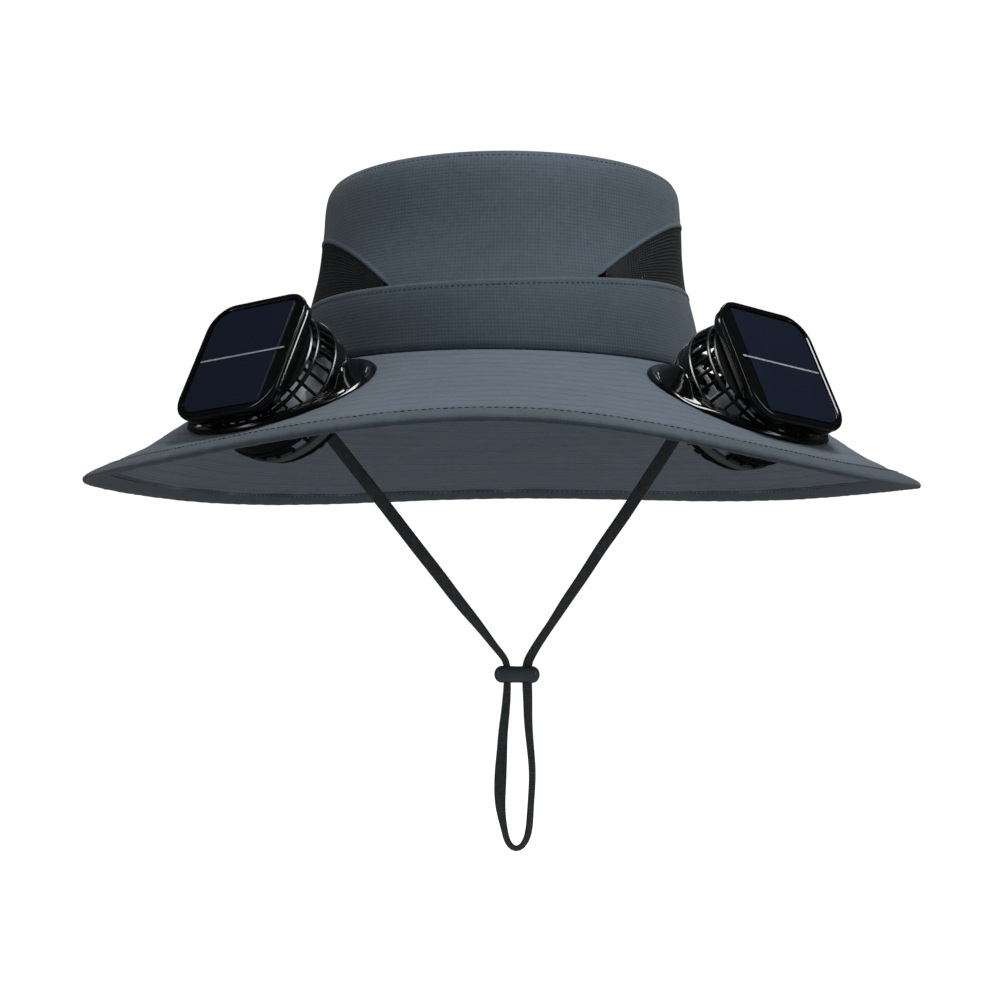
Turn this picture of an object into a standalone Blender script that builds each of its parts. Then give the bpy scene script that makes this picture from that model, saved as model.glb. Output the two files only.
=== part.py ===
# Wide-brimmed cloth sun hat with two tilting ball fans on its brim, each under a small
# solar panel, and a flat chin lace with a cord lock. Metres, +Z up, front towards -Y.
# The origin is the middle of the head opening, in the seam between crown and brim.

import math

import bmesh
import bpy
from mathutils import Matrix, Vector

GAP = 0.0003

# Head opening: half axes of the seam's outer edge
HEAD_HALF_WIDTH = 0.0944
HEAD_HALF_LENGTH = 0.1015

# Crown
CROWN_HEIGHT = 0.0892
CROWN_DOME = 0.007
CROWN_WALL = 0.0014
CROWN_COLUMNS = 44
BAND_HEIGHT = 0.034
BAND_WALL = 0.0018
BAND_STEP = 0.0005
VENT_HEIGHT = 0.031
VENT_WALL = 0.0010
VENT_POWER = 2.2
VENT_TIP = 0.0012
VENT_COLUMNS = 14

# share of the crown's height, share of the head opening's half axes
CROWN_SECTIONS = (
    (0.00, 1.000),
    (0.14, 0.987),
    (0.28, 0.969),
    (0.40, 0.943),
    (0.52, 0.920),
    (0.65, 0.906),
    (0.78, 0.900),
    (0.90, 0.893),
    (1.00, 0.875),
)

# share of the crown's height, how far the worn crown leans towards the left fan
CROWN_LEAN = (
    (0.00, 0.0000),
    (0.30, 0.0017),
    (0.60, 0.0014),
    (1.00, 0.0009),
)
CROWN_SAG = 0.0013

# share of the tip's half axes, share of the dome's rise
TIP_SECTIONS = (
    (1.00, 0.00),
    (0.93, 0.38),
    (0.60, 0.82),
)

# turns round the hat, cosine share, sine share of the band's height
BAND_WAVES = (
    (1, 0.13, 0.00),
    (2, 0.07, 0.00),
)

# side, middle of the vent and half of its width in degrees from +X
VENTS = (
    ("left", 180.0, 55.0),
    ("right", 0.0, 64.0),
)

# Brim
BRIM_HALF_WIDTH = 0.1945
BRIM_HALF_LENGTH = 0.1930
BRIM_DROP = 0.0467
BRIM_WALL = 0.0020
BINDING_WIDTH = 0.0125
BINDING_WALL = 0.0007

# turns round the hat, cosine share, sine share of the drop: how far the edge lifts
BRIM_WAVES = (
    (1, 0.034, 0.075),
    (2, -0.092, 0.046),
    (3, 0.009, 0.040),
    (4, 0.049, -0.009),
)

# middle and width in degrees, share of the drop: the edge curls up a little in front
BRIM_CURL = (272.5, 19.0, 0.037)

# first and last direction in degrees from +X, width of a column there
BRIM_COLUMNS = (
    (0.0, 186.0, 8.5),
    (186.0, 264.0, 5.6),
    (264.0, 276.0, 6.0),
    (276.0, 354.0, 5.6),
    (354.0, 360.0, 6.0),
)
BRIM_ROWS = (0.0, 0.06, 0.22, 0.39, 0.56, 0.73)

# Fan: where the ball's centre is, and which way its tilt axis and its panel face
FAN_CENTRE = (0.0998, -0.0957, -0.0165)
TILT_AXIS_TURN = 37.8
TILT_AXIS_DROP = 3.5
PANEL_LIFT = 29.2
BASE_FACE_TILT = 30.0
BALL_RADIUS = 0.0325
BALL_HEIGHT = 0.0060
BALL_CLEARANCE = 0.0010

# Fan base on the brim
BASE_HALF_LENGTH = 0.046
BASE_HALF_WIDTH = 0.0370
BASE_EDGE = 0.0014
BASE_THICKNESS = 0.0022
BASE_SEAT = 0.0007
BASE_BEVEL = 0.25
BASE_COLUMNS = 32
COLLAR_WALL = 0.0015
COLLAR_LIP = 0.0005
EAR_WALL = 0.0022
EAR_HEIGHT = 0.0085
EAR_SHARPNESS = 4
SCOOP_REACH = 0.72
SCOOP_DEPTH = 0.0004
SKIRT_WALL = 0.0013
SKIRT_REACH = 0.0012
FLAT_INSIDE = 0.85
FLAT_OUTSIDE = 1.60

# Pivot pins of the cage
PIN_RADIUS = 0.0024
PIN_CLEARANCE = 0.0003
PIN_REACH = 0.0026

# Fan cage: distances along its axis from the ball's centre, towards the panel
PANEL_FACE = 0.0225
HOUSING_DEPTH = 0.0066
UPPER_RING = 0.0137
DUCT_TOP = 0.0026
DUCT_BOTTOM = -0.0150
LOWER_RING = -0.0225
CAGE_WALL = 0.0018
UPPER_RIBS = 16
RIB_WIDTH = 0.0016
RING_WIDTH = 0.0016
HUB_RADIUS = 0.0105
HUB_TOP = DUCT_BOTTOM
PIN_SIDES = 12

# Impeller
ROTOR_RADIUS = 0.0240
ROTOR_HUB_RADIUS = 0.0085
ROTOR_HUB_TOP_RADIUS = 0.0068
ROTOR_CLEARANCE = 0.0004
ROTOR_HEIGHT = 0.0116
ROTOR_SIDES = 16
BLADES = 5
BLADE_WALL = 0.0010

# share of the way from the hub to the tip, chord, pitch in degrees
BLADE_SECTIONS = (
    (0.0, 0.0065, 42.0),
    (0.5, 0.0105, 35.0),
    (1.0, 0.0140, 27.0),
)

# Solar panel
PANEL_WIDTH = 0.0555
PANEL_HEIGHT = 0.0605
PANEL_SHIFT = 0.0025
PANEL_CORNER = 0.0125
PANEL_EDGE = 0.0016
POCKET_DEPTH = 0.0010
CELL_WIDTH = 0.0500
CELL_HEIGHT = 0.0545
CELL_CORNER = 0.0085
CELL_WALL = 0.0006
CELL_SHIFT = 0.0020

# Chin lace and its lock
LACE_RADIUS = 0.0016
LACE_STEP = 0.0090
LACE_DEPTH = -0.006
LOCK_CENTRE = (0.0080, LACE_DEPTH, -0.1380)
LOCK_LENGTH = 0.0212
LOCK_HEIGHT = 0.0082
LOCK_DEPTH = 0.0100
LOCK_STRANDS = 0.0098
LOCK_CLEARANCE = 0.0006
LOCK_EDGE = 0.0026

# The lace's route from the seam on the left to the seam on the right: x, z
LACE_ROUTE = (
    (-0.0927, -0.0026),
    (-0.0920, -0.0075),
    (-0.0887, -0.0165),
    (-0.0827, -0.0255),
    (-0.0585, -0.0554),
    (-0.0311, -0.0898),
    (-0.0060, -0.1207),
    (0.0011, -0.1293),
    (0.0030, -0.1335),
    (0.0031, -0.1380),
    (0.0031, -0.1430),
    (0.0028, -0.1560),
    (0.0016, -0.1700),
    (0.0009, -0.1866),
    (0.0010, -0.2010),
    (0.0034, -0.2130),
    (0.0082, -0.2185),
    (0.0128, -0.2135),
    (0.0148, -0.2035),
    (0.0153, -0.1866),
    (0.0146, -0.1700),
    (0.0134, -0.1560),
    (0.0129, -0.1430),
    (0.0129, -0.1380),
    (0.0130, -0.1335),
    (0.0146, -0.1290),
    (0.0200, -0.1195),
    (0.0290, -0.1062),
    (0.0443, -0.0828),
    (0.0637, -0.0533),
    (0.0808, -0.0266),
    (0.0877, -0.0160),
    (0.0917, -0.0075),
    (0.0927, -0.0026),
)

# name: red, green, blue, roughness
COLOURS = {
    "crown_cloth": (0.072, 0.095, 0.120, 0.80),
    "brim_cloth": (0.110, 0.135, 0.165, 0.80),
    "binding_cloth": (0.085, 0.105, 0.130, 0.75),
    "vent_mesh": (0.012, 0.016, 0.020, 0.85),
    "gloss_plastic": (0.010, 0.012, 0.013, 0.22),
    "solar_cell": (0.008, 0.009, 0.022, 0.20),
    "woven_lace": (0.012, 0.014, 0.016, 0.80),
    "lock_plastic": (0.022, 0.026, 0.030, 0.45),
}


def clear_scene():
    for item in list(bpy.data.objects):
        bpy.data.objects.remove(item)


def make_collection(name):
    group = bpy.data.collections.new(name)
    bpy.context.scene.collection.children.link(group)
    return group


def make_material(name):
    red, green, blue, roughness = COLOURS[name]
    material = bpy.data.materials.new(name)
    material.use_nodes = True
    shader = material.node_tree.nodes["Principled BSDF"]
    shader.inputs["Base Color"].default_value = (red, green, blue, 1.0)
    shader.inputs["Roughness"].default_value = roughness
    shader.inputs["Metallic"].default_value = 0.0
    return material


def add_object(name, mesh, colour, smooth=35.0):
    item = bpy.data.objects.new(name, mesh)
    parts.objects.link(item)
    mesh.materials.append(make_material(colour))
    mesh.shade_smooth()
    mesh.set_sharp_from_angle(angle=math.radians(smooth))
    return item


def mesh_from(name, points, faces):
    mesh = bpy.data.meshes.new(name)
    mesh.from_pydata([tuple(point) for point in points], [], faces)
    mesh.validate()
    mesh.update()
    return mesh


def mesh_from_bmesh(name, shape):
    bmesh.ops.recalc_face_normals(shape, faces=shape.faces)
    mesh = bpy.data.meshes.new(name)
    shape.to_mesh(mesh)
    shape.free()
    return mesh


def add_boolean(item, cutter, operation):
    step = item.modifiers.new(operation.lower(), "BOOLEAN")
    step.operation = operation
    step.object = cutter
    step.solver = "EXACT"


def add_helper(name, mesh, matrix=None):
    helper = bpy.data.objects.new(name, mesh)
    helpers.objects.link(helper)
    helper.hide_render = True
    helper.display_type = "WIRE"
    if matrix:
        helper.matrix_world = matrix
    return helper


def add_wall(item, thickness):
    wall = item.modifiers.new("wall", "SOLIDIFY")
    wall.thickness = thickness
    wall.offset = -1.0
    wall.use_even_offset = True


def smooth_step(low, high, value):
    share = min(1.0, max(0.0, (value - low) / (high - low)))
    return share * share * (3.0 - 2.0 * share)


def wave(table, angle):
    return sum(
        cosine * math.cos(turns * angle) + sine * math.sin(turns * angle)
        for turns, cosine, sine in table
    )


def along(table, value):
    """Reads a table of (place, amount) rows as one smooth curve."""
    last = len(table) - 1
    row = max(i for i in range(last) if table[i][0] <= value or i == 0)

    def slope(i):
        low, high = table[max(i - 1, 0)], table[min(i + 1, last)]
        return (high[1] - low[1]) / (high[0] - low[0])

    width = table[row + 1][0] - table[row][0]
    t = min(1.0, max(0.0, (value - table[row][0]) / width))
    return (
        (2 * t**3 - 3 * t**2 + 1) * table[row][1]
        + (t**3 - 2 * t**2 + t) * width * slope(row)
        + (3 * t**2 - 2 * t**3) * table[row + 1][1]
        + (t**3 - t**2) * width * slope(row + 1)
    )


# Crown

def crown_point(angle, height, out=0.0):
    share = along(CROWN_SECTIONS, height / CROWN_HEIGHT)
    across = HEAD_HALF_WIDTH * share + out
    length = HEAD_HALF_LENGTH * share + out
    return leaning(Vector((across * math.cos(angle), length * math.sin(angle), height)))


def leaning(point):
    """The worn crown leans a little, and its top is lower on the left."""
    share = point.z / CROWN_HEIGHT
    rise = CROWN_SAG * share * point.x / HEAD_HALF_WIDTH
    return Vector((point.x - along(CROWN_LEAN, share), point.y, point.z + rise))


def band_top(angle):
    return BAND_HEIGHT * (1.0 + wave(BAND_WAVES, angle))


def vent_rise(angle):
    """Height of the vent's arch above the band in this direction, or 0 between the vents."""
    for _, middle, half in VENTS:
        turn = (math.degrees(angle) - middle + 180.0) % 360.0 - 180.0
        if abs(turn) < half:
            return VENT_HEIGHT * (1.0 - abs(turn / half) ** VENT_POWER)
    return 0.0


def crown_patch(name, colour, angles, low, high, rows, wall, out=0.0, closed=False):
    """A patch of the crown's wall between two heights, which may change with direction."""
    points = []
    for angle in angles:
        bottom, top = low(angle), high(angle)
        for row in range(rows + 1):
            points.append(crown_point(angle, bottom + (top - bottom) * row / rows, out))
    columns = len(angles)
    faces = []
    for i in range(columns if closed else columns - 1):
        here, beyond = i * (rows + 1), (i + 1) % columns * (rows + 1)
        for row in range(rows):
            faces.append((here + row, beyond + row, beyond + row + 1, here + row + 1))
    item = add_object(name, mesh_from(name, points, faces), colour)
    add_wall(item, wall)
    return item


def whole_turn(columns):
    return [2.0 * math.pi * i / columns for i in range(columns)]


def vent_angles(middle, half, columns):
    """Directions across one vent, up to where its arch is only VENT_TIP high."""
    reach = half * (1.0 - VENT_TIP / VENT_HEIGHT) ** (1.0 / VENT_POWER)
    return [
        math.radians(middle + reach * math.sin(math.pi * (i / columns - 0.5)))
        for i in range(columns + 1)
    ]


def side_angles():
    """Directions round the crown, with extra ones at the points of the vents."""
    angles = set(whole_turn(CROWN_COLUMNS))
    for _, middle, half in VENTS:
        for turn in (-half, -half * 0.9, half * 0.9, half):
            angles.add(math.radians((middle + turn) % 360.0))
    return sorted(angles)


def build_crown():
    crown_patch(
        "crown_band", "crown_cloth", whole_turn(CROWN_COLUMNS),
        lambda angle: GAP, band_top, 2, BAND_WALL, BAND_STEP, closed=True,
    )
    crown_patch(
        "crown_side", "crown_cloth", side_angles(),
        lambda angle: band_top(angle) + vent_rise(angle) + GAP,
        lambda angle: CROWN_HEIGHT, 3, CROWN_WALL, closed=True,
    )
    for side, middle, half in VENTS:
        crown_patch(
            "mesh_vent_" + side, "vent_mesh", vent_angles(middle, half, VENT_COLUMNS),
            lambda angle: band_top(angle) + GAP,
            lambda angle: band_top(angle) + vent_rise(angle) - GAP, 3, VENT_WALL,
        )
    build_tip()


def build_tip():
    columns = whole_turn(CROWN_COLUMNS)
    rim = CROWN_SECTIONS[-1][1]
    inset = CROWN_WALL + 2.0 * GAP
    across = HEAD_HALF_WIDTH * rim - inset
    length = HEAD_HALF_LENGTH * rim - inset
    points, faces = [], []
    for size, rise in TIP_SECTIONS:
        for angle in columns:
            x, y = across * size * math.cos(angle), length * size * math.sin(angle)
            points.append(leaning(Vector((x, y, CROWN_HEIGHT + CROWN_DOME * rise))))
    top = len(points)
    points.append(leaning(Vector((0.0, 0.0, CROWN_HEIGHT + CROWN_DOME))))
    count = len(columns)
    for ring in range(len(TIP_SECTIONS) - 1):
        for i in range(count):
            a, b = ring * count + i, ring * count + (i + 1) % count
            faces.append((a, b, b + count, a + count))
    for i in range(count):
        a = (len(TIP_SECTIONS) - 1) * count
        faces.append((a + i, a + (i + 1) % count, top))
    tip = add_object("crown_tip", mesh_from("crown_tip", points, faces), "crown_cloth")
    add_wall(tip, CROWN_WALL)


# Fan frames

def fan_frame(side):
    """Axes of one fan: along its tilt axis, up across the panel, out of the panel."""
    turn, drop = math.radians(TILT_AXIS_TURN), math.radians(-TILT_AXIS_DROP)
    tilt = Vector((
        math.cos(turn) * math.cos(drop), math.sin(turn) * math.cos(drop), math.sin(drop),
    ))
    outward = tilt.cross(Vector((0.0, 0.0, 1.0))).normalized()
    upward = outward.cross(tilt).normalized()
    upward *= math.copysign(1.0, upward.z)
    lift = math.radians(PANEL_LIFT)
    face = outward * math.cos(lift) + upward * math.sin(lift)
    up = upward * math.cos(lift) - outward * math.sin(lift)
    lean = math.radians(BASE_FACE_TILT)
    base = outward * math.sin(lean) + upward * math.cos(lean)
    flip = Vector((side, 1.0, 1.0))
    return [Vector(a * b for a, b in zip(axis, flip)) for axis in (tilt, up, face, base)]


def axes_matrix(x_axis, y_axis, z_axis, place):
    matrix = Matrix((x_axis, y_axis, z_axis)).transposed().to_4x4()
    matrix.translation = place
    return matrix


def ball_centre(side):
    return Vector((side * FAN_CENTRE[0], FAN_CENTRE[1], FAN_CENTRE[2]))


def ball_matrix(side):
    _, up, face, _ = fan_frame(side)
    return axes_matrix(up.cross(face), up, face, ball_centre(side))


def base_matrix(side):
    tilt, _, _, base = fan_frame(side)
    across = tilt * side
    return axes_matrix(across, base.cross(across), base, ball_centre(side) - base * BALL_HEIGHT)


# Brim

def brim_cone(angle, share):
    middle, width, lift = BRIM_CURL
    turn = (math.degrees(angle) - middle + 180.0) % 360.0 - 180.0
    curl = lift * math.exp(-(turn / width) ** 2)
    edge = -BRIM_DROP * (1.0 - wave(BRIM_WAVES, angle) - curl)
    across = HEAD_HALF_WIDTH + (BRIM_HALF_WIDTH - HEAD_HALF_WIDTH) * share
    length = HEAD_HALF_LENGTH + (BRIM_HALF_LENGTH - HEAD_HALF_LENGTH) * share
    return Vector((across * math.cos(angle), length * math.sin(angle), edge * share))


def brim_share(x, y):
    """How far out on the brim a point lies: 0 at the seam, 1 at the edge."""
    low, high = -0.2, 1.2
    for _ in range(24):
        share = 0.5 * (low + high)
        across = HEAD_HALF_WIDTH + (BRIM_HALF_WIDTH - HEAD_HALF_WIDTH) * share
        length = HEAD_HALF_LENGTH + (BRIM_HALF_LENGTH - HEAD_HALF_LENGTH) * share
        if (x / across) ** 2 + (y / length) ** 2 > 1.0:
            low = share
        else:
            high = share
    return share, math.atan2(y / length, x / across)


def brim_height(x, y):
    """Height of the brim's top face: a drooping cone that lies flat under each fan base."""
    share, angle = brim_share(x, y)
    height = brim_cone(angle, share).z
    matrix = base_matrix(math.copysign(1.0, x))
    place, face = matrix.translation, matrix.col[2].to_3d()
    flat = place.z - (face.x * (x - place.x) + face.y * (y - place.y)) / face.z
    local = matrix.inverted() @ Vector((x, y, flat))
    reach = math.hypot(local.x / BASE_HALF_LENGTH, local.y / BASE_HALF_WIDTH)
    hold = 1.0 - smooth_step(FLAT_INSIDE, FLAT_OUTSIDE, reach)
    hold *= smooth_step(0.0, BRIM_ROWS[1], share)
    return height + (flat - height) * hold


def brim_angles():
    angles = []
    for first, last, width in BRIM_COLUMNS:
        count = max(1, round((last - first) / width))
        angles += [first + (last - first) * i / count for i in range(count)]
    return [math.radians(angle) for angle in angles]


def brim_point(angle, share):
    place = brim_cone(angle, share)
    place.z = brim_height(place.x, place.y)
    return place


def edge_share(distance):
    """How far out on the brim a line lies that runs this far inside its edge."""
    return 1.0 - distance / (BRIM_HALF_WIDTH - HEAD_HALF_WIDTH)


def build_brim():
    angles = brim_angles()
    shares = BRIM_ROWS + (edge_share(BINDING_WIDTH), edge_share(2.0 * GAP + BINDING_WALL))
    points, faces = [], []
    for angle in angles:
        points.append(crown_point(angle, 0.0, BAND_STEP - BAND_WALL))
        points += [brim_point(angle, share) for share in shares]
    rows, columns = len(shares), len(angles)
    for i in range(columns):
        here, beyond = i * (rows + 1), (i + 1) % columns * (rows + 1)
        for row in range(rows):
            faces.append((here + row, here + row + 1, beyond + row + 1, beyond + row))
    brim = add_object("brim", mesh_from("brim", points, faces), "brim_cloth")
    add_wall(brim, BRIM_WALL)
    for name, side in (("left", -1.0), ("right", 1.0)):
        shape = bmesh.new()
        hole = BALL_RADIUS + BALL_CLEARANCE + SKIRT_WALL + GAP
        bmesh.ops.create_cone(
            shape, cap_ends=True, segments=BASE_COLUMNS, radius1=hole, radius2=hole,
            depth=BASE_HALF_WIDTH,
        )
        cutter = add_helper("brim_hole_" + name, mesh_from_bmesh("brim_hole", shape))
        cutter.matrix_world = base_matrix(side)
        add_boolean(brim, cutter, "DIFFERENCE")


def build_binding():
    """Folded tape round the brim's edge: a channel open towards the hat."""
    angles = brim_angles()
    tape = GAP + BINDING_WALL
    inner = edge_share(BINDING_WIDTH)
    fold = edge_share(BINDING_WALL)
    # share of the way out, height above the brim's top face
    section = (
        (inner, GAP), (fold, GAP), (fold, -BRIM_WALL - GAP), (inner, -BRIM_WALL - GAP),
        (inner, -BRIM_WALL - tape), (1.0, -BRIM_WALL - 0.5 * tape), (1.0, 0.5 * tape),
        (inner, tape),
    )
    points, faces = [], []
    for angle in angles:
        low = brim_point(angle, inner)
        slope = (brim_point(angle, 1.0) - low).normalized()
        side = Vector((-math.sin(angle), math.cos(angle), 0.0))
        face = slope.cross(side).normalized()
        face *= math.copysign(1.0, face.z)
        for share, rise in section:
            points.append(brim_point(angle, share) + face * rise)
    count, columns = len(section), len(angles)
    for i in range(columns):
        here, beyond = i * count, (i + 1) % columns * count
        for j in range(count):
            k = (j + 1) % count
            faces.append((here + j, beyond + j, beyond + k, here + k))
    shape = bmesh.new()
    shape.from_mesh(mesh_from("binding", points, faces))
    add_object("brim_binding", mesh_from_bmesh("brim_binding", shape), "binding_cloth")


# Fan base

def seat_height(matrix, x, y):
    """Height of the brim's top face over the base's own plane."""
    face = matrix.col[2].to_3d()
    rise = 0.0
    for _ in range(4):
        world = matrix @ Vector((x, y, rise))
        rise += (brim_height(world.x, world.y) - world.z) * face.z
    return rise


def base_section(matrix, turn):
    """One cut through the base, from its outer edge over the collar to its skirt."""
    cosine, sine = math.cos(turn), math.sin(turn)
    edge = 1.0 / math.hypot(cosine / BASE_HALF_LENGTH, sine / BASE_HALF_WIDTH)
    opening = BALL_RADIUS + BALL_CLEARANCE
    ear = abs(cosine) ** EAR_SHARPNESS
    collar = opening + COLLAR_WALL + EAR_WALL * ear
    skirt = opening + SKIRT_WALL
    ledge = edge - collar

    def seat(radius):
        return seat_height(matrix, radius * cosine, radius * sine) + BASE_SEAT

    top = seat(collar) + BASE_THICKNESS
    rim = top + COLLAR_LIP + EAR_HEIGHT * ear
    foot = seat(opening) - BASE_SEAT - BRIM_WALL - SKIRT_REACH
    rows = [
        (edge, seat(edge)),
        (edge, seat(edge) + BASE_EDGE),
        (edge - BASE_BEVEL * ledge, seat(edge) + BASE_THICKNESS),
        (edge - SCOOP_REACH * ledge, top - SCOOP_DEPTH * ear),
        (collar, top),
        (collar - BASE_BEVEL * COLLAR_WALL, rim),
        (opening, rim),
        (opening, foot),
        (skirt, foot),
        (skirt, seat(skirt)),
    ]
    return [Vector((radius * cosine, radius * sine, rise)) for radius, rise in rows]


def build_base(name, side):
    matrix = base_matrix(side)
    sections = [base_section(matrix, turn) for turn in whole_turn(BASE_COLUMNS)]
    points = [point for section in sections for point in section]
    count = len(sections[0])
    faces = []
    for i in range(BASE_COLUMNS):
        here, beyond = i * count, (i + 1) % BASE_COLUMNS * count
        for j in range(count):
            k = (j + 1) % count
            faces.append((here + j, beyond + j, beyond + k, here + k))
    shape = bmesh.new()
    shape.from_mesh(mesh_from("fan_base", points, faces))
    base = add_object("fan_base_" + name, mesh_from_bmesh("fan_base", shape), "gloss_plastic")
    base.matrix_world = matrix
    bore = bmesh.new()
    radius = PIN_RADIUS + PIN_CLEARANCE
    bmesh.ops.create_cone(
        bore, cap_ends=True, segments=PIN_SIDES, radius1=radius, radius2=radius,
        depth=2.0 * (BALL_RADIUS + BALL_CLEARANCE + PIN_REACH + GAP),
        matrix=Matrix.Rotation(math.pi / 2.0, 4, "Y"),
    )
    lift = Matrix.Translation((0.0, 0.0, BALL_HEIGHT))
    cutter = add_helper("pin_bore_" + name, mesh_from_bmesh("pin_bore", bore), matrix @ lift)
    add_boolean(base, cutter, "DIFFERENCE")


# Fan cage

def ball_width(height):
    return math.sqrt(BALL_RADIUS**2 - height**2)


def on_ball(height, sunk):
    """A (radius, height) point on the ball's skin at this height, or so far inside it."""
    lift = math.asin(height / BALL_RADIUS)
    radius = BALL_RADIUS - sunk
    return (radius * math.cos(lift), radius * math.sin(lift))


def cage_profiles():
    """Outer and inner points of the cage's wall, from its hub to the back of the panel,
    and what each step between two points is: solid, upper ribs or lower ribs."""
    half = 0.5 * RING_WIDTH
    back = PANEL_FACE - HOUSING_DEPTH - GAP
    heights = (
        (-ball_width(HUB_RADIUS + CAGE_WALL), "lower"),
        (LOWER_RING - half, "solid"),
        (LOWER_RING + half, "lower"),
        (DUCT_BOTTOM, "solid"),
        (0.5 * (DUCT_BOTTOM + DUCT_TOP), "solid"),
        (DUCT_TOP, "upper"),
        (UPPER_RING - half, "solid"),
        (UPPER_RING + half, "upper"),
        (back - RING_WIDTH, "solid"),
        (back, None),
    )
    outer = [on_ball(height, 0.0) for height, _ in heights]
    inner = [on_ball(height, CAGE_WALL) for height, _ in heights]
    inner[-1] = (inner[-1][0], back)
    bottom = outer[0][1]
    outer = [(0.0, bottom), (HUB_RADIUS, bottom)] + outer
    inner = [(0.0, HUB_TOP), (HUB_RADIUS, HUB_TOP)] + inner
    steps = ["solid", "solid"] + [step for _, step in heights[:-1]]
    return outer, inner, steps


def build_cage_mesh():
    """The cage's wall, turned round its axis and pierced between its ribs."""
    outer, inner, steps = cage_profiles()
    rib = RIB_WIDTH / BALL_RADIUS
    pitch = 2.0 * math.pi / UPPER_RIBS
    turns = [pitch * (i // 2) + (i % 2 - 0.5) * rib for i in range(2 * UPPER_RIBS)]
    columns = len(turns)
    shape = bmesh.new()

    def turned(profile):
        rows = []
        for radius, height in profile:
            if radius == 0.0:
                rows.append([shape.verts.new((0.0, 0.0, height))] * columns)
                continue
            rows.append([
                shape.verts.new((radius * math.cos(turn), radius * math.sin(turn), height))
                for turn in turns
            ])
        return rows

    def face(*corners):
        shape.faces.new(list(dict.fromkeys(corners)))

    def solid(row, column):
        if not 0 <= row < len(steps):
            return False
        on_rib = column % 2 == 0
        return (
            steps[row] == "solid"
            or steps[row] == "upper" and on_rib
            or steps[row] == "lower" and on_rib and column // 2 % 2 == 0
        )

    skin, lining = turned(outer), turned(inner)
    for row in range(len(steps)):
        for column in range(columns):
            if not solid(row, column):
                continue
            left, right = column, (column + 1) % columns
            face(skin[row][left], skin[row][right], skin[row + 1][right], skin[row + 1][left])
            face(
                lining[row][left], lining[row + 1][left],
                lining[row + 1][right], lining[row][right],
            )
            if row and not solid(row - 1, column):
                face(skin[row][right], skin[row][left], lining[row][left], lining[row][right])
            if not solid(row + 1, column):
                up = row + 1
                face(skin[up][left], skin[up][right], lining[up][right], lining[up][left])
            if not solid(row, (column - 1) % columns):
                up = row + 1
                face(skin[row][left], skin[up][left], lining[up][left], lining[row][left])
            if not solid(row, right):
                up = row + 1
                face(skin[up][right], skin[row][right], lining[row][right], lining[up][right])
    return mesh_from_bmesh("fan_cage", shape)


def build_cage(name, side):
    matrix = ball_matrix(side)
    cage = add_object("fan_cage_" + name, build_cage_mesh(), "gloss_plastic")
    cage.matrix_world = matrix
    inner = BALL_RADIUS - CAGE_WALL
    outer = BALL_RADIUS + BALL_CLEARANCE + PIN_REACH
    for end, way in (("front", -1.0), ("rear", 1.0)):
        pin = bmesh.new()
        turn = Matrix.Rotation(way * math.pi / 2.0, 4, "Y")
        bmesh.ops.create_cone(
            pin, cap_ends=True, segments=PIN_SIDES, radius1=PIN_RADIUS, radius2=PIN_RADIUS,
            depth=outer - inner,
            matrix=turn @ Matrix.Translation((0.0, 0.0, 0.5 * (inner + outer))),
        )
        label = "_".join(("pin", end, name))
        add_boolean(cage, add_helper(label, mesh_from_bmesh("pin", pin), matrix), "UNION")


def build_impeller(name, side):
    bottom = HUB_TOP + ROTOR_CLEARANCE
    middle = Matrix.Translation((0.0, 0.0, bottom + 0.5 * ROTOR_HEIGHT))
    shape = bmesh.new()
    bmesh.ops.create_cone(
        shape, cap_ends=True, segments=ROTOR_SIDES, radius1=ROTOR_HUB_RADIUS,
        radius2=ROTOR_HUB_TOP_RADIUS, depth=ROTOR_HEIGHT, matrix=middle,
    )
    rotor = add_object("impeller_" + name, mesh_from_bmesh("rotor_hub", shape), "gloss_plastic")
    rotor.matrix_world = ball_matrix(side)
    blades = bmesh.new()
    root = ROTOR_HUB_TOP_RADIUS - BLADE_WALL
    corners = ((-0.5, -0.5), (0.5, -0.5), (0.5, 0.5), (-0.5, 0.5))
    for i in range(BLADES):
        spin = Matrix.Rotation(2.0 * math.pi * i / BLADES, 4, "Z") @ middle
        rings = []
        for share, chord, pitch in BLADE_SECTIONS:
            reach = Matrix.Translation((root + (ROTOR_RADIUS - root) * share, 0.0, 0.0))
            place = spin @ reach @ Matrix.Rotation(math.radians(pitch), 4, "X")
            rings.append([
                blades.verts.new(place @ Vector((0.0, chord * y, BLADE_WALL * z)))
                for y, z in corners
            ])
        for low, high in zip(rings, rings[1:]):
            for j in range(4):
                k = (j + 1) % 4
                blades.faces.new((low[j], low[k], high[k], high[j]))
        blades.faces.new(rings[0][::-1])
        blades.faces.new(rings[-1])
    helper = add_helper("blades_" + name, mesh_from_bmesh("blades", blades), rotor.matrix_world)
    add_boolean(rotor, helper, "UNION")


# Solar panel

def rounded_square(name, width, height, corner, bottom, top):
    """An upright block with round corners, between two heights on the local Z axis."""
    shape = bmesh.new()
    bmesh.ops.create_cube(shape, size=1.0)
    scale = Matrix.Diagonal((width, height, top - bottom, 1.0))
    lift = Matrix.Translation((0.0, 0.0, 0.5 * (top + bottom)))
    bmesh.ops.transform(shape, matrix=lift @ scale, verts=shape.verts)
    upright = [
        edge for edge in shape.edges
        if abs(edge.verts[0].co.z - edge.verts[1].co.z) > 0.5 * (top - bottom)
    ]
    bmesh.ops.bevel(
        shape, geom=upright, offset=corner, segments=4, profile=0.5, affect="EDGES",
    )
    return mesh_from_bmesh(name, shape)


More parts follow.
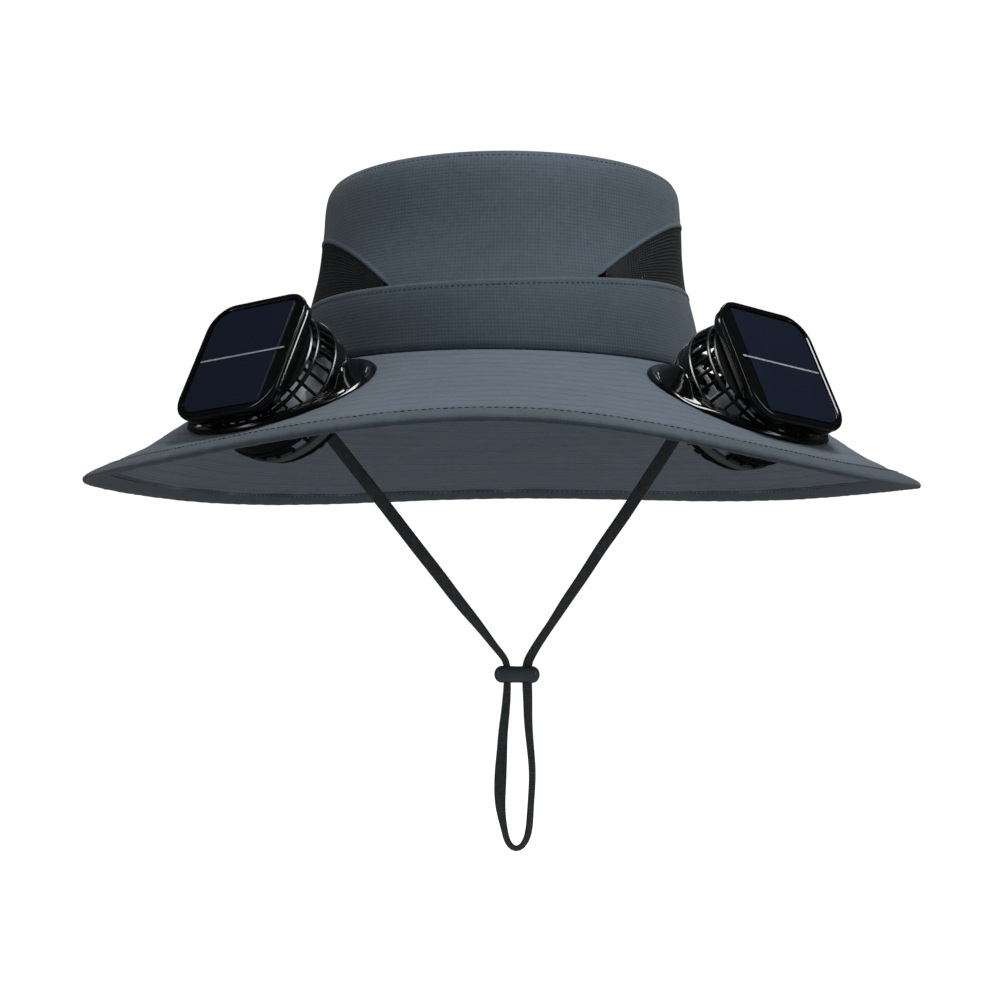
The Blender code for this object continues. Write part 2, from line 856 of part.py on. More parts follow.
def build_panel(name, side):
    matrix = ball_matrix(side)
    back = PANEL_FACE - HOUSING_DEPTH
    mesh = rounded_square(
        "solar_housing", PANEL_WIDTH, PANEL_HEIGHT, PANEL_CORNER, back, PANEL_FACE,
    )
    housing = add_object("solar_housing_" + name, mesh, "gloss_plastic")
    housing.matrix_world = matrix @ Matrix.Translation((side * PANEL_SHIFT, 0.0, 0.0))
    rim = housing.modifiers.new("rim", "BEVEL")
    rim.width = PANEL_EDGE
    rim.segments = 2
    rim.limit_method = "ANGLE"
    rim.angle_limit = math.radians(60.0)
    shift = Matrix.Translation((side * CELL_SHIFT, 0.0, 0.0))
    floor = PANEL_FACE - POCKET_DEPTH
    pocket = rounded_square(
        "pocket", CELL_WIDTH + 2.0 * GAP, CELL_HEIGHT + 2.0 * GAP, CELL_CORNER + GAP,
        floor, PANEL_FACE + POCKET_DEPTH,
    )
    cutter = add_helper("cell_pocket_" + name, pocket, matrix @ shift)
    add_boolean(housing, cutter, "DIFFERENCE")
    cell = rounded_square(
        "solar_cell", CELL_WIDTH, CELL_HEIGHT, CELL_CORNER, floor + GAP,
        floor + GAP + CELL_WALL,
    )
    plate = add_object("solar_cell_" + name, cell, "solar_cell")
    plate.matrix_world = matrix @ shift


# Chin lace and lock

def smooth_route(points, step):
    """Evenly spaced points on one smooth curve through the given ones."""
    dense = []
    for i in range(len(points) - 1):
        before, here = points[max(i - 1, 0)], points[i]
        there, after = points[i + 1], points[min(i + 2, len(points) - 1)]
        for j in range(12):
            t = j / 12
            dense.append(0.5 * (
                2.0 * here + (there - before) * t
                + (2.0 * before - 5.0 * here + 4.0 * there - after) * t**2
                + (3.0 * here - before - 3.0 * there + after) * t**3
            ))
    dense.append(points[-1])
    total = sum((b - a).length for a, b in zip(dense, dense[1:]))
    count = max(2, round(total / step))
    spaced, walked, target = [dense[0]], 0.0, total / count
    for a, b in zip(dense, dense[1:]):
        length = (b - a).length
        while walked + length >= target * len(spaced) and len(spaced) < count:
            spaced.append(a.lerp(b, (target * len(spaced) - walked) / length))
        walked += length
    return spaced + [dense[-1]]


def build_lace():
    route = smooth_route([Vector((x, LACE_DEPTH, z)) for x, z in LACE_ROUTE], LACE_STEP)
    curve = bpy.data.curves.new("chin_cord", "CURVE")
    curve.dimensions = "3D"
    curve.bevel_depth = LACE_RADIUS
    curve.bevel_resolution = 2
    curve.use_fill_caps = True
    line = curve.splines.new("POLY")
    line.points.add(len(route) - 1)
    for point, place in zip(line.points, route):
        point.co = (*place, 1.0)
    curve.materials.append(make_material("woven_lace"))
    parts.objects.link(bpy.data.objects.new("chin_cord", curve))


def build_lock():
    mesh = rounded_square(
        "cord_lock", LOCK_LENGTH, LOCK_DEPTH, LOCK_DEPTH * 0.45,
        -0.5 * LOCK_HEIGHT, 0.5 * LOCK_HEIGHT,
    )
    lock = add_object("cord_lock", mesh, "lock_plastic")
    lock.location = LOCK_CENTRE
    edge = lock.modifiers.new("edge", "BEVEL")
    edge.width = LOCK_EDGE
    edge.segments = 2
    edge.limit_method = "ANGLE"
    edge.angle_limit = math.radians(60.0)
    for way in (-0.5, 0.5):
        shape = bmesh.new()
        radius = LACE_RADIUS + LOCK_CLEARANCE
        bmesh.ops.create_cone(
            shape, cap_ends=True, segments=PIN_SIDES, radius1=radius, radius2=radius,
            depth=2.0 * LOCK_HEIGHT,
        )
        cutter = add_helper("lace_hole", mesh_from_bmesh("lace_hole", shape))
        cutter.location = Vector(LOCK_CENTRE) + Vector((way * LOCK_STRANDS, 0.0, 0.0))
        add_boolean(lock, cutter, "DIFFERENCE")


def gather_moving(name, side):
    """Hangs the pieces that tilt on an empty at the tilt axis."""
    hinge = bpy.data.objects.new("fan_pivot_" + name, None)
    parts.objects.link(hinge)
    hinge.matrix_world = ball_matrix(side)
    bpy.context.view_layer.update()
    for label in ("fan_cage_", "impeller_", "solar_housing_", "solar_cell_"):
        piece = bpy.data.objects[label + name]
        place = piece.matrix_world.copy()
        piece.parent = hinge
        piece.matrix_parent_inverse = hinge.matrix_world.inverted()
        piece.matrix_world = place


clear_scene()
parts = make_collection("solar_fan_hat")
helpers = make_collection("cutters")
build_crown()
build_brim()
build_binding()
for fan_name, fan_side in (("left", -1.0), ("right", 1.0)):
    build_base(fan_name, fan_side)
    build_cage(fan_name, fan_side)
    build_impeller(fan_name, fan_side)
    build_panel(fan_name, fan_side)
    gather_moving(fan_name, fan_side)
build_lace()
build_lock()
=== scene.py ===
import math

import bmesh
import bpy
from mathutils import Matrix, Vector, noise


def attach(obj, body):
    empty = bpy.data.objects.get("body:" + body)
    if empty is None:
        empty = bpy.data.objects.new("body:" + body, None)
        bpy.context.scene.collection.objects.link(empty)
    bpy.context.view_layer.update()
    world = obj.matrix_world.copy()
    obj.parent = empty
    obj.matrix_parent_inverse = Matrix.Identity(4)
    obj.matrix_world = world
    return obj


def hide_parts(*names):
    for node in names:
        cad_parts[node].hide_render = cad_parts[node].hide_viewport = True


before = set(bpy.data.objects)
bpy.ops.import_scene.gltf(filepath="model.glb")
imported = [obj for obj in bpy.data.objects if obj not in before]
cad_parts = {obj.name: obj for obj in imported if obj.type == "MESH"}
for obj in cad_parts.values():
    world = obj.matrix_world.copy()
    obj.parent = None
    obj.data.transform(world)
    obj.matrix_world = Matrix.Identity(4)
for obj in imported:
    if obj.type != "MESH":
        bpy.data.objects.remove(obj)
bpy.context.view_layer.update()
print("stage: frame loaded")

# sizes that the pieces share, in metres
hat = {
    "headHalf": (0.0944, 0.1015),
    "brimHalf": (0.1945, 0.1930),
    "brimDrop": 0.0467,
    "brimWall": 0.0020,
    "crownHeight": 0.0892,
    "crownWall": 0.0014,
    "bandHeight": 0.034,
    "bandStep": 0.0009,
    "ventHeight": 0.031,
    "ventPower": 2.2,
    # side, middle and half width in degrees
    "vents": (("left", 180.0, 55.0), ("right", 0.0, 64.0)),
    # share of the crown's height, share of the head opening
    "crownSections": (
        (0.00, 1.000), (0.14, 0.987), (0.28, 0.969), (0.40, 0.943), (0.52, 0.920),
        (0.65, 0.906), (0.78, 0.900), (0.90, 0.893), (1.00, 0.875),
    ),
    # share of the crown's height, metres it leans to the left
    "crownLean": ((0.0, 0.0), (0.30, 0.0017), (0.60, 0.0014), (1.0, 0.0009)),
    "crownSag": 0.0013,
    # turns round the hat, cosine, sine
    "bandWaves": ((1, 0.13, 0.0), (2, 0.07, 0.0)),
    "brimWaves": (
        (1, 0.034, 0.075), (2, -0.092, 0.046), (3, 0.009, 0.040), (4, 0.049, -0.009),
    ),
    # middle and width in degrees, share of the drop
    "brimCurl": (272.5, 19.0, 0.037),
}

fan = {
    "centre": (0.0998, -0.0957, -0.0165),
    "axisTurn": 37.8,
    "axisDrop": 3.5,
    "panelLift": 29.2,
    "baseTilt": 30.0,
    "ballRadius": 0.0325,
    "ballHeight": 0.0060,
    "flange": (0.046, 0.037),
    "face": 0.0225,
}


def smoothStep(low, high, value):
    share = min(1.0, max(0.0, (value - low) / (high - low)))
    return share * share * (3.0 - 2.0 * share)


def bell(value, width):
    return math.exp(-(value / width) ** 2)


def wave(table, angle):
    return sum(c * math.cos(n * angle) + s * math.sin(n * angle) for n, c, s in table)


# one smooth curve through (place, amount) rows
def along(table, value):
    last = len(table) - 1
    row = max(i for i in range(last) if table[i][0] <= value or i == 0)

    def slope(i):
        low, high = table[max(i - 1, 0)], table[min(i + 1, last)]
        return (high[1] - low[1]) / (high[0] - low[0])

    width = table[row + 1][0] - table[row][0]
    t = min(1.0, max(0.0, (value - table[row][0]) / width))
    return (
        (2 * t**3 - 3 * t**2 + 1) * table[row][1]
        + (t**3 - 2 * t**2 + t) * width * slope(row)
        + (3 * t**2 - 2 * t**3) * table[row + 1][1]
        + (t**3 - t**2) * width * slope(row + 1)
    )


def wholeTurn(count):
    return [2.0 * math.pi * i / count for i in range(count)]


def addPiece(name, mesh, material, body="hat", nodes=(), place=None):
    piece = bpy.data.objects.new(name, mesh)
    bpy.context.scene.collection.objects.link(piece)
    if material:
        mesh.materials.append(material)
    if place:
        piece.matrix_world = place
        bpy.context.view_layer.update()
    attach(piece, body)
    if nodes:
        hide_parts(*nodes)
    return piece


def meshFrom(name, shape, smooth=40.0, recalc=True):
    if recalc:
        bmesh.ops.recalc_face_normals(shape, faces=shape.faces)
    mesh = bpy.data.meshes.new(name)
    shape.to_mesh(mesh)
    shape.free()
    mesh.shade_smooth()
    mesh.set_sharp_from_angle(angle=math.radians(smooth))
    return mesh


# a sheet from columns of points; uvs has one column more where the sheet is closed
def gridMesh(name, columns, uvs, closed=False, smooth=60.0):
    shape = bmesh.new()
    layer = shape.loops.layers.uv.new("cloth")
    verts = [[shape.verts.new(point) for point in column] for column in columns]
    count = len(columns)
    for i in range(count if closed else count - 1):
        j = (i + 1) % count
        for row in range(len(columns[i]) - 1):
            corners = ((i, row), (j, row), (j, row + 1), (i, row + 1))
            face = shape.faces.new([verts[a][b] for a, b in corners])
            spots = ((i, row), (i + 1, row), (i + 1, row + 1), (i, row + 1))
            for loop, (a, b) in zip(face.loops, spots):
                loop[layer].uv = uvs[a][b]
    return meshFrom(name, shape, smooth, recalc=False)


def closeUvs(uvs, radius):
    uvs.append([(2.0 * math.pi * radius, v) for _, v in uvs[0]])


def addWall(piece, thickness):
    wall = piece.modifiers.new("wall", "SOLIDIFY")
    wall.thickness = thickness
    wall.offset = -1.0
    wall.use_even_offset = True


def joinRings(shape, rings, closed=False):
    total, count = len(rings), len(rings[0])
    for i in range(total if closed else total - 1):
        low, high = rings[i], rings[(i + 1) % total]
        for j in range(count):
            k = (j + 1) % count
            shape.faces.new((low[j], low[k], high[k], high[j]))


def capEnds(shape, rings):
    shape.faces.new(rings[0][::-1])
    shape.faces.new(rings[-1])


# a rounded bar along points; sides and outs give its width and depth directions
def sweep(shape, points, sides, outs, width, depth, closed=False):
    outline = (
        (-0.5, -0.28), (-0.28, -0.5), (0.28, -0.5), (0.5, -0.28),
        (0.5, 0.28), (0.28, 0.5), (-0.28, 0.5), (-0.5, 0.28),
    )
    rings = [
        [shape.verts.new(point + side * a * width + out * b * depth) for a, b in outline]
        for point, side, out in zip(points, sides, outs)
    ]
    joinRings(shape, rings, closed)
    if not closed:
        capEnds(shape, rings)


def straightBar(shape, points, side, out, width, depth):
    sweep(shape, points, [side] * len(points), [out] * len(points), width, depth)


# turns (radius, height) points round the local Z axis
def turned(shape, profile, count, closed=True):
    rings = [
        [shape.verts.new((r * math.cos(a), r * math.sin(a), z)) for a in wholeTurn(count)]
        for r, z in profile
    ]
    joinRings(shape, rings, closed)
    return rings


def loft(shape, outlines):
    rings = [[shape.verts.new(point) for point in outline] for outline in outlines]
    joinRings(shape, rings)
    return rings


def ring(shape, radius, height, width, depth, count=96):
    outs = [Vector((math.cos(a), math.sin(a), 0.0)) for a in wholeTurn(count)]
    points = [out * radius + Vector((0, 0, height)) for out in outs]
    sweep(shape, points, [Vector((0, 0, 1))] * count, outs, width, depth, closed=True)


# short sewn dashes along a line of points, each bedded a little in the cloth
def addStitches(shape, line, outs, settings):
    # share of its length, share of its thickness, thicknesses it stands out
    dash = ((0.0, 0.35, -0.4), (0.25, 1.0, 0.25), (0.75, 1.0, 0.25), (1.0, 0.35, -0.4))
    long, thick, sides = settings["length"], settings["thread"], 5
    marks = [0.0]
    for a, b in zip(line, line[1:]):
        marks.append(marks[-1] + (b - a).length)
    count = int(marks[-1] / settings["pitch"])
    row = 0
    for n in range(count):
        start = (n + 0.15) * marks[-1] / count
        while marks[row + 1] < start:
            row += 1
        share = (start - marks[row]) / max(1e-9, marks[row + 1] - marks[row])
        point = line[row].lerp(line[row + 1], share)
        forward = (line[row + 1] - line[row]).normalized()
        out = outs[row].normalized()
        side = forward.cross(out).normalized()
        rings = []
        for t, size, rise in dash:
            middle = point + forward * t * long + out * (rise * thick)
            rings.append([
                shape.verts.new(
                    middle + (side * math.cos(a) + out * math.sin(a)) * 0.5 * thick * size
                )
                for a in wholeTurn(sides)
            ])
        joinRings(shape, rings)
        capEnds(shape, rings)


def applyModifiers(piece):
    graph = bpy.context.evaluated_depsgraph_get()
    graph.update()
    mesh = bpy.data.meshes.new_from_object(piece.evaluated_get(graph))
    piece.modifiers.clear()
    piece.data = mesh


# cuts a round hole along the local Z axis of a place
def cutHole(piece, radius, reach, count, place):
    tool = bmesh.new()
    turned(tool, [(radius, -reach), (radius, reach)], count, closed=False)
    bmesh.ops.holes_fill(tool, edges=tool.edges)
    cutter = bpy.data.objects.new("cutter", meshFrom("cutter", tool))
    bpy.context.scene.collection.objects.link(cutter)
    cutter.matrix_world = place
    cut = piece.modifiers.new("hole", "BOOLEAN")
    cut.operation, cut.object, cut.solver = "DIFFERENCE", cutter, "EXACT"
    applyModifiers(piece)
    bpy.data.objects.remove(cutter)


def startMaterial(name, sockets):
    material = bpy.data.materials.new(name)
    material.use_nodes = True
    shader = material.node_tree.nodes["Principled BSDF"]
    for socket, value in sockets.items():
        shader.inputs[socket].default_value = value
    return material, material.node_tree, shader


def setSocket(tree, socket, value):
    if isinstance(value, bpy.types.NodeSocket):
        tree.links.new(value, socket)
    else:
        socket.default_value = value


def addNode(tree, kind, inputs=None, **settings):
    item = tree.nodes.new(kind)
    for key, value in settings.items():
        setattr(item, key, value)
    for key, value in (inputs or {}).items():
        setSocket(tree, item.inputs[key], value)
    return item


def sums(tree, operation, a, b=0.0, c=0.0):
    return addNode(tree, "ShaderNodeMath", {0: a, 1: b, 2: c}, operation=operation).outputs[0]


def spread(tree, value, low, high, start=0.0, end=1.0):
    ends = {0: value, 1: low, 2: high, 3: start, 4: end}
    return addNode(tree, "ShaderNodeMapRange", ends).outputs[0]


def patches(tree, place, scale, detail=3.0):
    settings = {"Vector": place, "Scale": scale, "Detail": detail}
    return addNode(tree, "ShaderNodeTexNoise", settings).outputs[0]


# 0 on a line and 0.5 halfway to the next one
def repeats(tree, value, pitch):
    return sums(tree, "PINGPONG", sums(tree, "DIVIDE", value, pitch), 0.5)


def blendColours(tree, factor, dark, light):
    mix = addNode(tree, "ShaderNodeMix", {0: factor, 6: dark, 7: light}, data_type="RGBA")
    return mix.outputs[2]


def shade(colour, amount):
    return tuple(min(1.0, part * amount) for part in colour[:3]) + (1.0,)


def ownPlace(tree):
    return addNode(tree, "ShaderNodeTexCoord").outputs["Object"]


def clothSpot(tree):
    uv = addNode(tree, "ShaderNodeUVMap", uv_map="cloth")
    spot = addNode(tree, "ShaderNodeSeparateXYZ", {0: uv.outputs[0]}).outputs
    return spot[0], spot[1]


def finishMaterial(tree, shader, colour, height, strength, distance):
    tree.links.new(colour, shader.inputs["Base Color"])
    settings = {"Strength": strength, "Distance": distance, "Height": height}
    bump = addNode(tree, "ShaderNodeBump", settings)
    tree.links.new(bump.outputs[0], shader.inputs["Normal"])


weave = {
    # patches to a metre
    "fine": 620.0, "slub": 150.0, "broad": 16.0,
    # shares of the tone, its range, and the colours at both ends of it
    "fineShare": 0.5, "slubShare": 0.35, "range": (0.40, 0.70), "wearRange": 0.6,
    "dark": 0.74, "light": 1.24,
    # how far threads, slubs and sewn rows stand up
    "threadHeight": 0.6, "slubHeight": 0.8, "sewnHeight": -1.2, "depth": 0.0003,
    "threadEdge": (0.04, 0.26),
    "rowWidth": (0.0009, 0.0003), "stitchEnd": (0.12, 0.20), "sewnDark": 0.35,
}
moulding = {
    "cloud": 90.0, "grain": 1800.0, "rough": (0.75, 1.35), "shades": (0.8, 1.25),
    "depth": 0.0001,
}


# woven cloth: threads from the UV map in metres, heather and broad wear from noise
def makeCloth(name, look):
    material, tree, shader = startMaterial(name, {
        "Roughness": look["rough"], "Specular IOR Level": look["shine"],
        "Sheen Weight": look["sheen"], "Sheen Roughness": 0.45,
    })
    across, up = clothSpot(tree)
    threads = [
        spread(tree, repeats(tree, way, look["thread"]), *weave["threadEdge"])
        for way in (across, up)
    ]
    grid = sums(tree, "MULTIPLY", threads[0], threads[1])
    place = ownPlace(tree)
    slub = patches(tree, place, weave["slub"])
    tone = sums(tree, "MULTIPLY", grid, look["grid"])
    for speckle, share in (
        (patches(tree, place, weave["fine"], 2.0), weave["fineShare"]),
        (slub, weave["slubShare"]),
        (patches(tree, place, weave["broad"]), look["wear"]),
    ):
        tone = sums(tree, "MULTIPLY_ADD", speckle, share, tone)
    low, high = weave["range"]
    high += look["grid"] + look["wear"] * weave["wearRange"]
    dark, light = (shade(look["colour"], weave[key]) for key in ("dark", "light"))
    colour = blendColours(tree, spread(tree, tone, low, high), dark, light)
    height = sums(tree, "MULTIPLY", slub, weave["slubHeight"])
    height = sums(tree, "MULTIPLY_ADD", grid, weave["threadHeight"], height)
    if "rowPitch" in look:  # rows of small stitches sewn through the cloth
        off = sums(tree, "MULTIPLY", repeats(tree, up, look["rowPitch"]), look["rowPitch"])
        onRow = spread(tree, off, *weave["rowWidth"])
        dash = spread(tree, repeats(tree, across, look["stitchPitch"]), *weave["stitchEnd"])
        sewn = sums(tree, "MULTIPLY", onRow, dash)
        colour = blendColours(
            tree, sums(tree, "MULTIPLY", sewn, look["rowDark"]), colour,
            shade(look["colour"], weave["sewnDark"]),
        )
        height = sums(tree, "MULTIPLY_ADD", sewn, weave["sewnHeight"], height)
    finishMaterial(tree, shader, colour, height, look["bump"], weave["depth"])
    return material


# moulded plastic: faint cloudiness in the gloss and a fine moulded grain
def makePlastic(name, look):
    material, tree, shader = startMaterial(name, {"Specular IOR Level": look["shine"]})
    place = ownPlace(tree)
    cloud = patches(tree, place, moulding["cloud"], 4.0)
    low, high = (look["rough"] * share for share in moulding["rough"])
    tree.links.new(spread(tree, cloud, 0.3, 0.7, low, high), shader.inputs["Roughness"])
    dark, light = (shade(look["colour"], share) for share in moulding["shades"])
    colour = blendColours(tree, cloud, dark, light)
    grain = patches(tree, place, moulding["grain"], 2.0)
    finishMaterial(tree, shader, colour, grain, look["bump"], moulding["depth"])
    return material


clothLooks = {
    "crown": {
        "colour": (0.0435, 0.0590, 0.0750), "rough": 0.85, "shine": 0.18, "sheen": 0.06,
        "thread": 0.0016, "grid": 0.20, "wear": 0.45, "bump": 0.32,
    },
    # the band is the crown's cloth made darker: painted shade for the fans' shadows over its sides
    "band": {
        "colour": (0.0370, 0.0508, 0.0645), "rough": 0.85, "shine": 0.18, "sheen": 0.06,
        "thread": 0.0016, "grid": 0.20, "wear": 0.45, "bump": 0.32,
    },
    "brim": {
        "colour": (0.068, 0.088, 0.110), "rough": 0.85, "shine": 0.18, "sheen": 0.07,
        "thread": 0.0023, "grid": 0.34, "wear": 0.30, "bump": 0.55,
        "rowPitch": 0.0078, "stitchPitch": 0.0026, "rowDark": 0.22,
    },
    "binding": {
        "colour": (0.0360, 0.0493, 0.0632), "rough": 0.80, "shine": 0.2, "sheen": 0.08,
        "thread": 0.0012, "grid": 0.15, "wear": 0.30, "bump": 0.45,
    },
    "mesh": {
        "colour": (0.0068, 0.0096, 0.0106), "rough": 0.80, "shine": 0.25, "sheen": 0.05,
        "thread": 0.0006, "grid": 0.0, "wear": 0.20, "bump": 0.3,
    },
    "thread": {
        "colour": (0.0250, 0.0320, 0.0400), "rough": 0.75, "shine": 0.2, "sheen": 0.0,
        "thread": 0.0004, "grid": 0.0, "wear": 0.10, "bump": 0.2,
    },
}
plasticLooks = {
    "gloss": {"colour": (0.0013, 0.0017, 0.0018), "rough": 0.13, "shine": 0.45, "bump": 0.03},
    "cage": {"colour": (0.0030, 0.0036, 0.0038), "rough": 0.24, "shine": 0.45, "bump": 0.06},
    "rotor": {"colour": (0.330, 0.353, 0.375), "rough": 0.50, "shine": 0.3, "bump": 0.06},
    "bowl": {"colour": (0.046, 0.052, 0.055), "rough": 0.45, "shine": 0.3, "bump": 0.06},
    "lock": {"colour": (0.042, 0.054, 0.064), "rough": 0.30, "shine": 0.60, "bump": 0.15},
}
cloths = {key: makeCloth(key + "Cloth", look) for key, look in clothLooks.items()}
plastics = {key: makePlastic(key + "Plastic", look) for key, look in plasticLooks.items()}


view = {
    "place": (-0.0360, -0.9494, -0.1326),
    "turn": 2.13, "pitch": 4.51, "roll": 0.70,
    "lens": 72.6, "shiftUp": 0.0035,
}


def addCamera():
    turn, pitch, roll = (math.radians(view[key]) for key in ("turn", "pitch", "roll"))
    forward = Vector((
        math.sin(turn) * math.cos(pitch), math.cos(turn) * math.cos(pitch), math.sin(pitch),
    ))
    right = forward.cross(Vector((0, 0, 1))).normalized()
    up = right.cross(forward)
    data = bpy.data.cameras.new("camera")
    data.lens = view["lens"]
    data.shift_y = view["shiftUp"]
    data.clip_start, data.clip_end = 0.01, 20.0
    camera = bpy.data.objects.new("camera", data)
    bpy.context.scene.collection.objects.link(camera)
    camera.matrix_world = axesMatrix(
        right * math.cos(roll) + up * math.sin(roll),
        up * math.cos(roll) - right * math.sin(roll), -forward, view["place"],
    )
    bpy.context.scene.camera = camera


def axesMatrix(x, y, z, place):
    matrix = Matrix((x, y, z)).transposed().to_4x4()
    matrix.translation = place
    return matrix


lace = {
    "depth": -0.006,
    "width": 0.0060,
    "thick": 0.0012,
    "length": 0.49,
    "step": 0.0016,
    "edgeRound": 0.1,
    # across and up, from the left seam through the lock and the loop to the right seam
    "route": (
        (-0.0927, -0.0026), (-0.0920, -0.0075), (-0.0887, -0.0165), (-0.0827, -0.0255),
        (-0.0585, -0.0554), (-0.0311, -0.0898), (-0.0060, -0.1207), (0.0011, -0.1293),
        (0.0030, -0.1335), (0.0031, -0.1380), (0.0031, -0.1430), (0.0028, -0.1560),
        (0.0016, -0.1700), (0.0009, -0.1866), (0.0012, -0.2010), (0.0031, -0.2120),
        (0.0054, -0.2168), (0.0085, -0.2184), (0.0116, -0.2166), (0.0140, -0.2110),
        (0.0151, -0.2010), (0.0153, -0.1866),
        (0.0146, -0.1700), (0.0134, -0.1560), (0.0129, -0.1430), (0.0129, -0.1380),
        (0.0130, -0.1335), (0.0146, -0.1290), (0.0200, -0.1195), (0.0290, -0.1062),
        (0.0443, -0.0828), (0.0637, -0.0533), (0.0808, -0.0266), (0.0877, -0.0160),
        (0.0917, -0.0075), (0.0927, -0.0026),
    ),
    # metres along, degrees its face is turned from the camera
    "turns": (
        (0.00, 10.0), (0.08, 6.0), (0.12, 20.0), (0.155, 52.0), (0.175, 58.0), (0.20, 42.0),
        (0.218, 22.0), (0.240, 66.0), (0.262, 60.0), (0.275, 62.0), (0.30, 58.0),
        (0.325, 42.0), (0.345, 28.0), (0.36, 36.0), (0.385, 30.0), (0.44, 8.0), (0.49, 12.0),
    ),
    # metres along, share of its full width, as it is pinched in the lock
    "widths": (
        (0.00, 1.0), (0.13, 0.98), (0.152, 0.78), (0.166, 0.76), (0.18, 0.95), (0.33, 0.96),
        (0.345, 0.80), (0.358, 0.80), (0.375, 0.96), (0.49, 1.0),
    ),
    # height in metres, radians to a metre
    "ripples": ((0.00025, 190.0), (0.0002, 83.0)),
    "ribPitch": 0.00105, "warpPitch": 0.0009,
    "dark": (0.0135, 0.0172, 0.0178, 1.0), "light": (0.0460, 0.0550, 0.0560, 1.0),
}


# an even step along a smooth curve through the points
def smoothRoute(points, step):
    dense = []
    for i in range(len(points) - 1):
        before, here = points[max(i - 1, 0)], points[i]
        there, after = points[i + 1], points[min(i + 2, len(points) - 1)]
        for j in range(16):
            t = j / 16
            dense.append(0.5 * (
                2.0 * here + (there - before) * t
                + (2.0 * before - 5.0 * here + 4.0 * there - after) * t**2
                + (3.0 * here - before - 3.0 * there + after) * t**3
            ))
    dense.append(points[-1])
    total = sum((b - a).length for a, b in zip(dense, dense[1:]))
    count = round(total / step)
    spaced, walked, target = [dense[0]], 0.0, total / count
    for a, b in zip(dense, dense[1:]):
        length = (b - a).length
        while walked + length >= target * len(spaced) and len(spaced) < count:
            spaced.append(a.lerp(b, (target * len(spaced) - walked) / length))
        walked += length
    return spaced + [dense[-1]]


# flat woven lace: fine ribs across its length and a warp along it
def makeLaceMaterial():
    material, tree, shader = startMaterial("laceWeave", {
        "Roughness": 0.7, "Specular IOR Level": 0.35, "Sheen Weight": 0.05,
    })
    across, up = clothSpot(tree)
    ribs, warp = (
        sums(tree, "SINE", sums(tree, "MULTIPLY", way, 2.0 * math.pi / pitch))
        for way, pitch in ((up, lace["ribPitch"]), (across, lace["warpPitch"]))
    )
    height = sums(tree, "MULTIPLY_ADD", ribs, 0.5, sums(tree, "MULTIPLY", warp, 0.3))
    tone = sums(tree, "MULTIPLY_ADD", height, 0.35, patches(tree, ownPlace(tree), 500.0))
    colour = blendColours(tree, tone, lace["dark"], lace["light"])
    finishMaterial(tree, shader, colour, height, 0.6, 0.0003)
    return material


def buildLace(lock):
    points = smoothRoute([Vector((x, lace["depth"], z)) for x, z in lace["route"]], lace["step"])
    shape = bmesh.new()
    layer = shape.loops.layers.uv.new("cloth")
    section = []
    for i in range(6):  # half round edges at both sides of a flat face
        a = math.pi * (i / 5 - 0.5)
        section.append((0.5 + lace["edgeRound"] * (math.cos(a) - 1.0), 0.5 * math.sin(a)))
    section += [(-a, -b) for a, b in section]
    towards = Vector((0, -1, 0))
    rings, spots, walked = [], {}, 0.0
    for i, point in enumerate(points):
        ahead, behind = points[min(i + 1, len(points) - 1)], points[max(i - 1, 0)]
        forward = (ahead - behind).normalized()
        flat = towards.cross(forward).normalized()
        turn = math.radians(along(lace["turns"], walked))
        side = flat * math.cos(turn) + towards * math.sin(turn)
        out = side.cross(forward).normalized()
        ripple = sum(size * math.sin(walked * pace) for size, pace in lace["ripples"])
        width = lace["width"] * along(lace["widths"], walked)
        rings.append([])
        for a, b in section:
            rise = b * lace["thick"] + ripple
            rings[-1].append(shape.verts.new(point + side * a * width + out * rise))
            spots[rings[-1][-1]] = (a * width, walked)
        walked += (ahead - point).length
    joinRings(shape, rings)
    for face in shape.faces:
        for loop in face.loops:
            loop[layer].uv = spots[loop.vert]
    capEnds(shape, rings)
    piece = addPiece(
        "chinLace", meshFrom("chinLace", shape, 50.0), makeLaceMaterial(), "hat",
        ["chin_cord"],
    )


cordLock = {
    "centre": (0.0080, -0.006, -0.1380), "length": 0.0212, "height": 0.0080, "depth": 0.0094,
    "pinch": (0.05, 0.35), "swell": 0.06, "endPower": 2.3, "facePower": 0.85,
    "slot": (0.0058, 0.0030), "slotTurn": 50.0, "slotApart": 0.0098, "slotReach": 0.01,
    "steps": 32, "sides": 40,
}


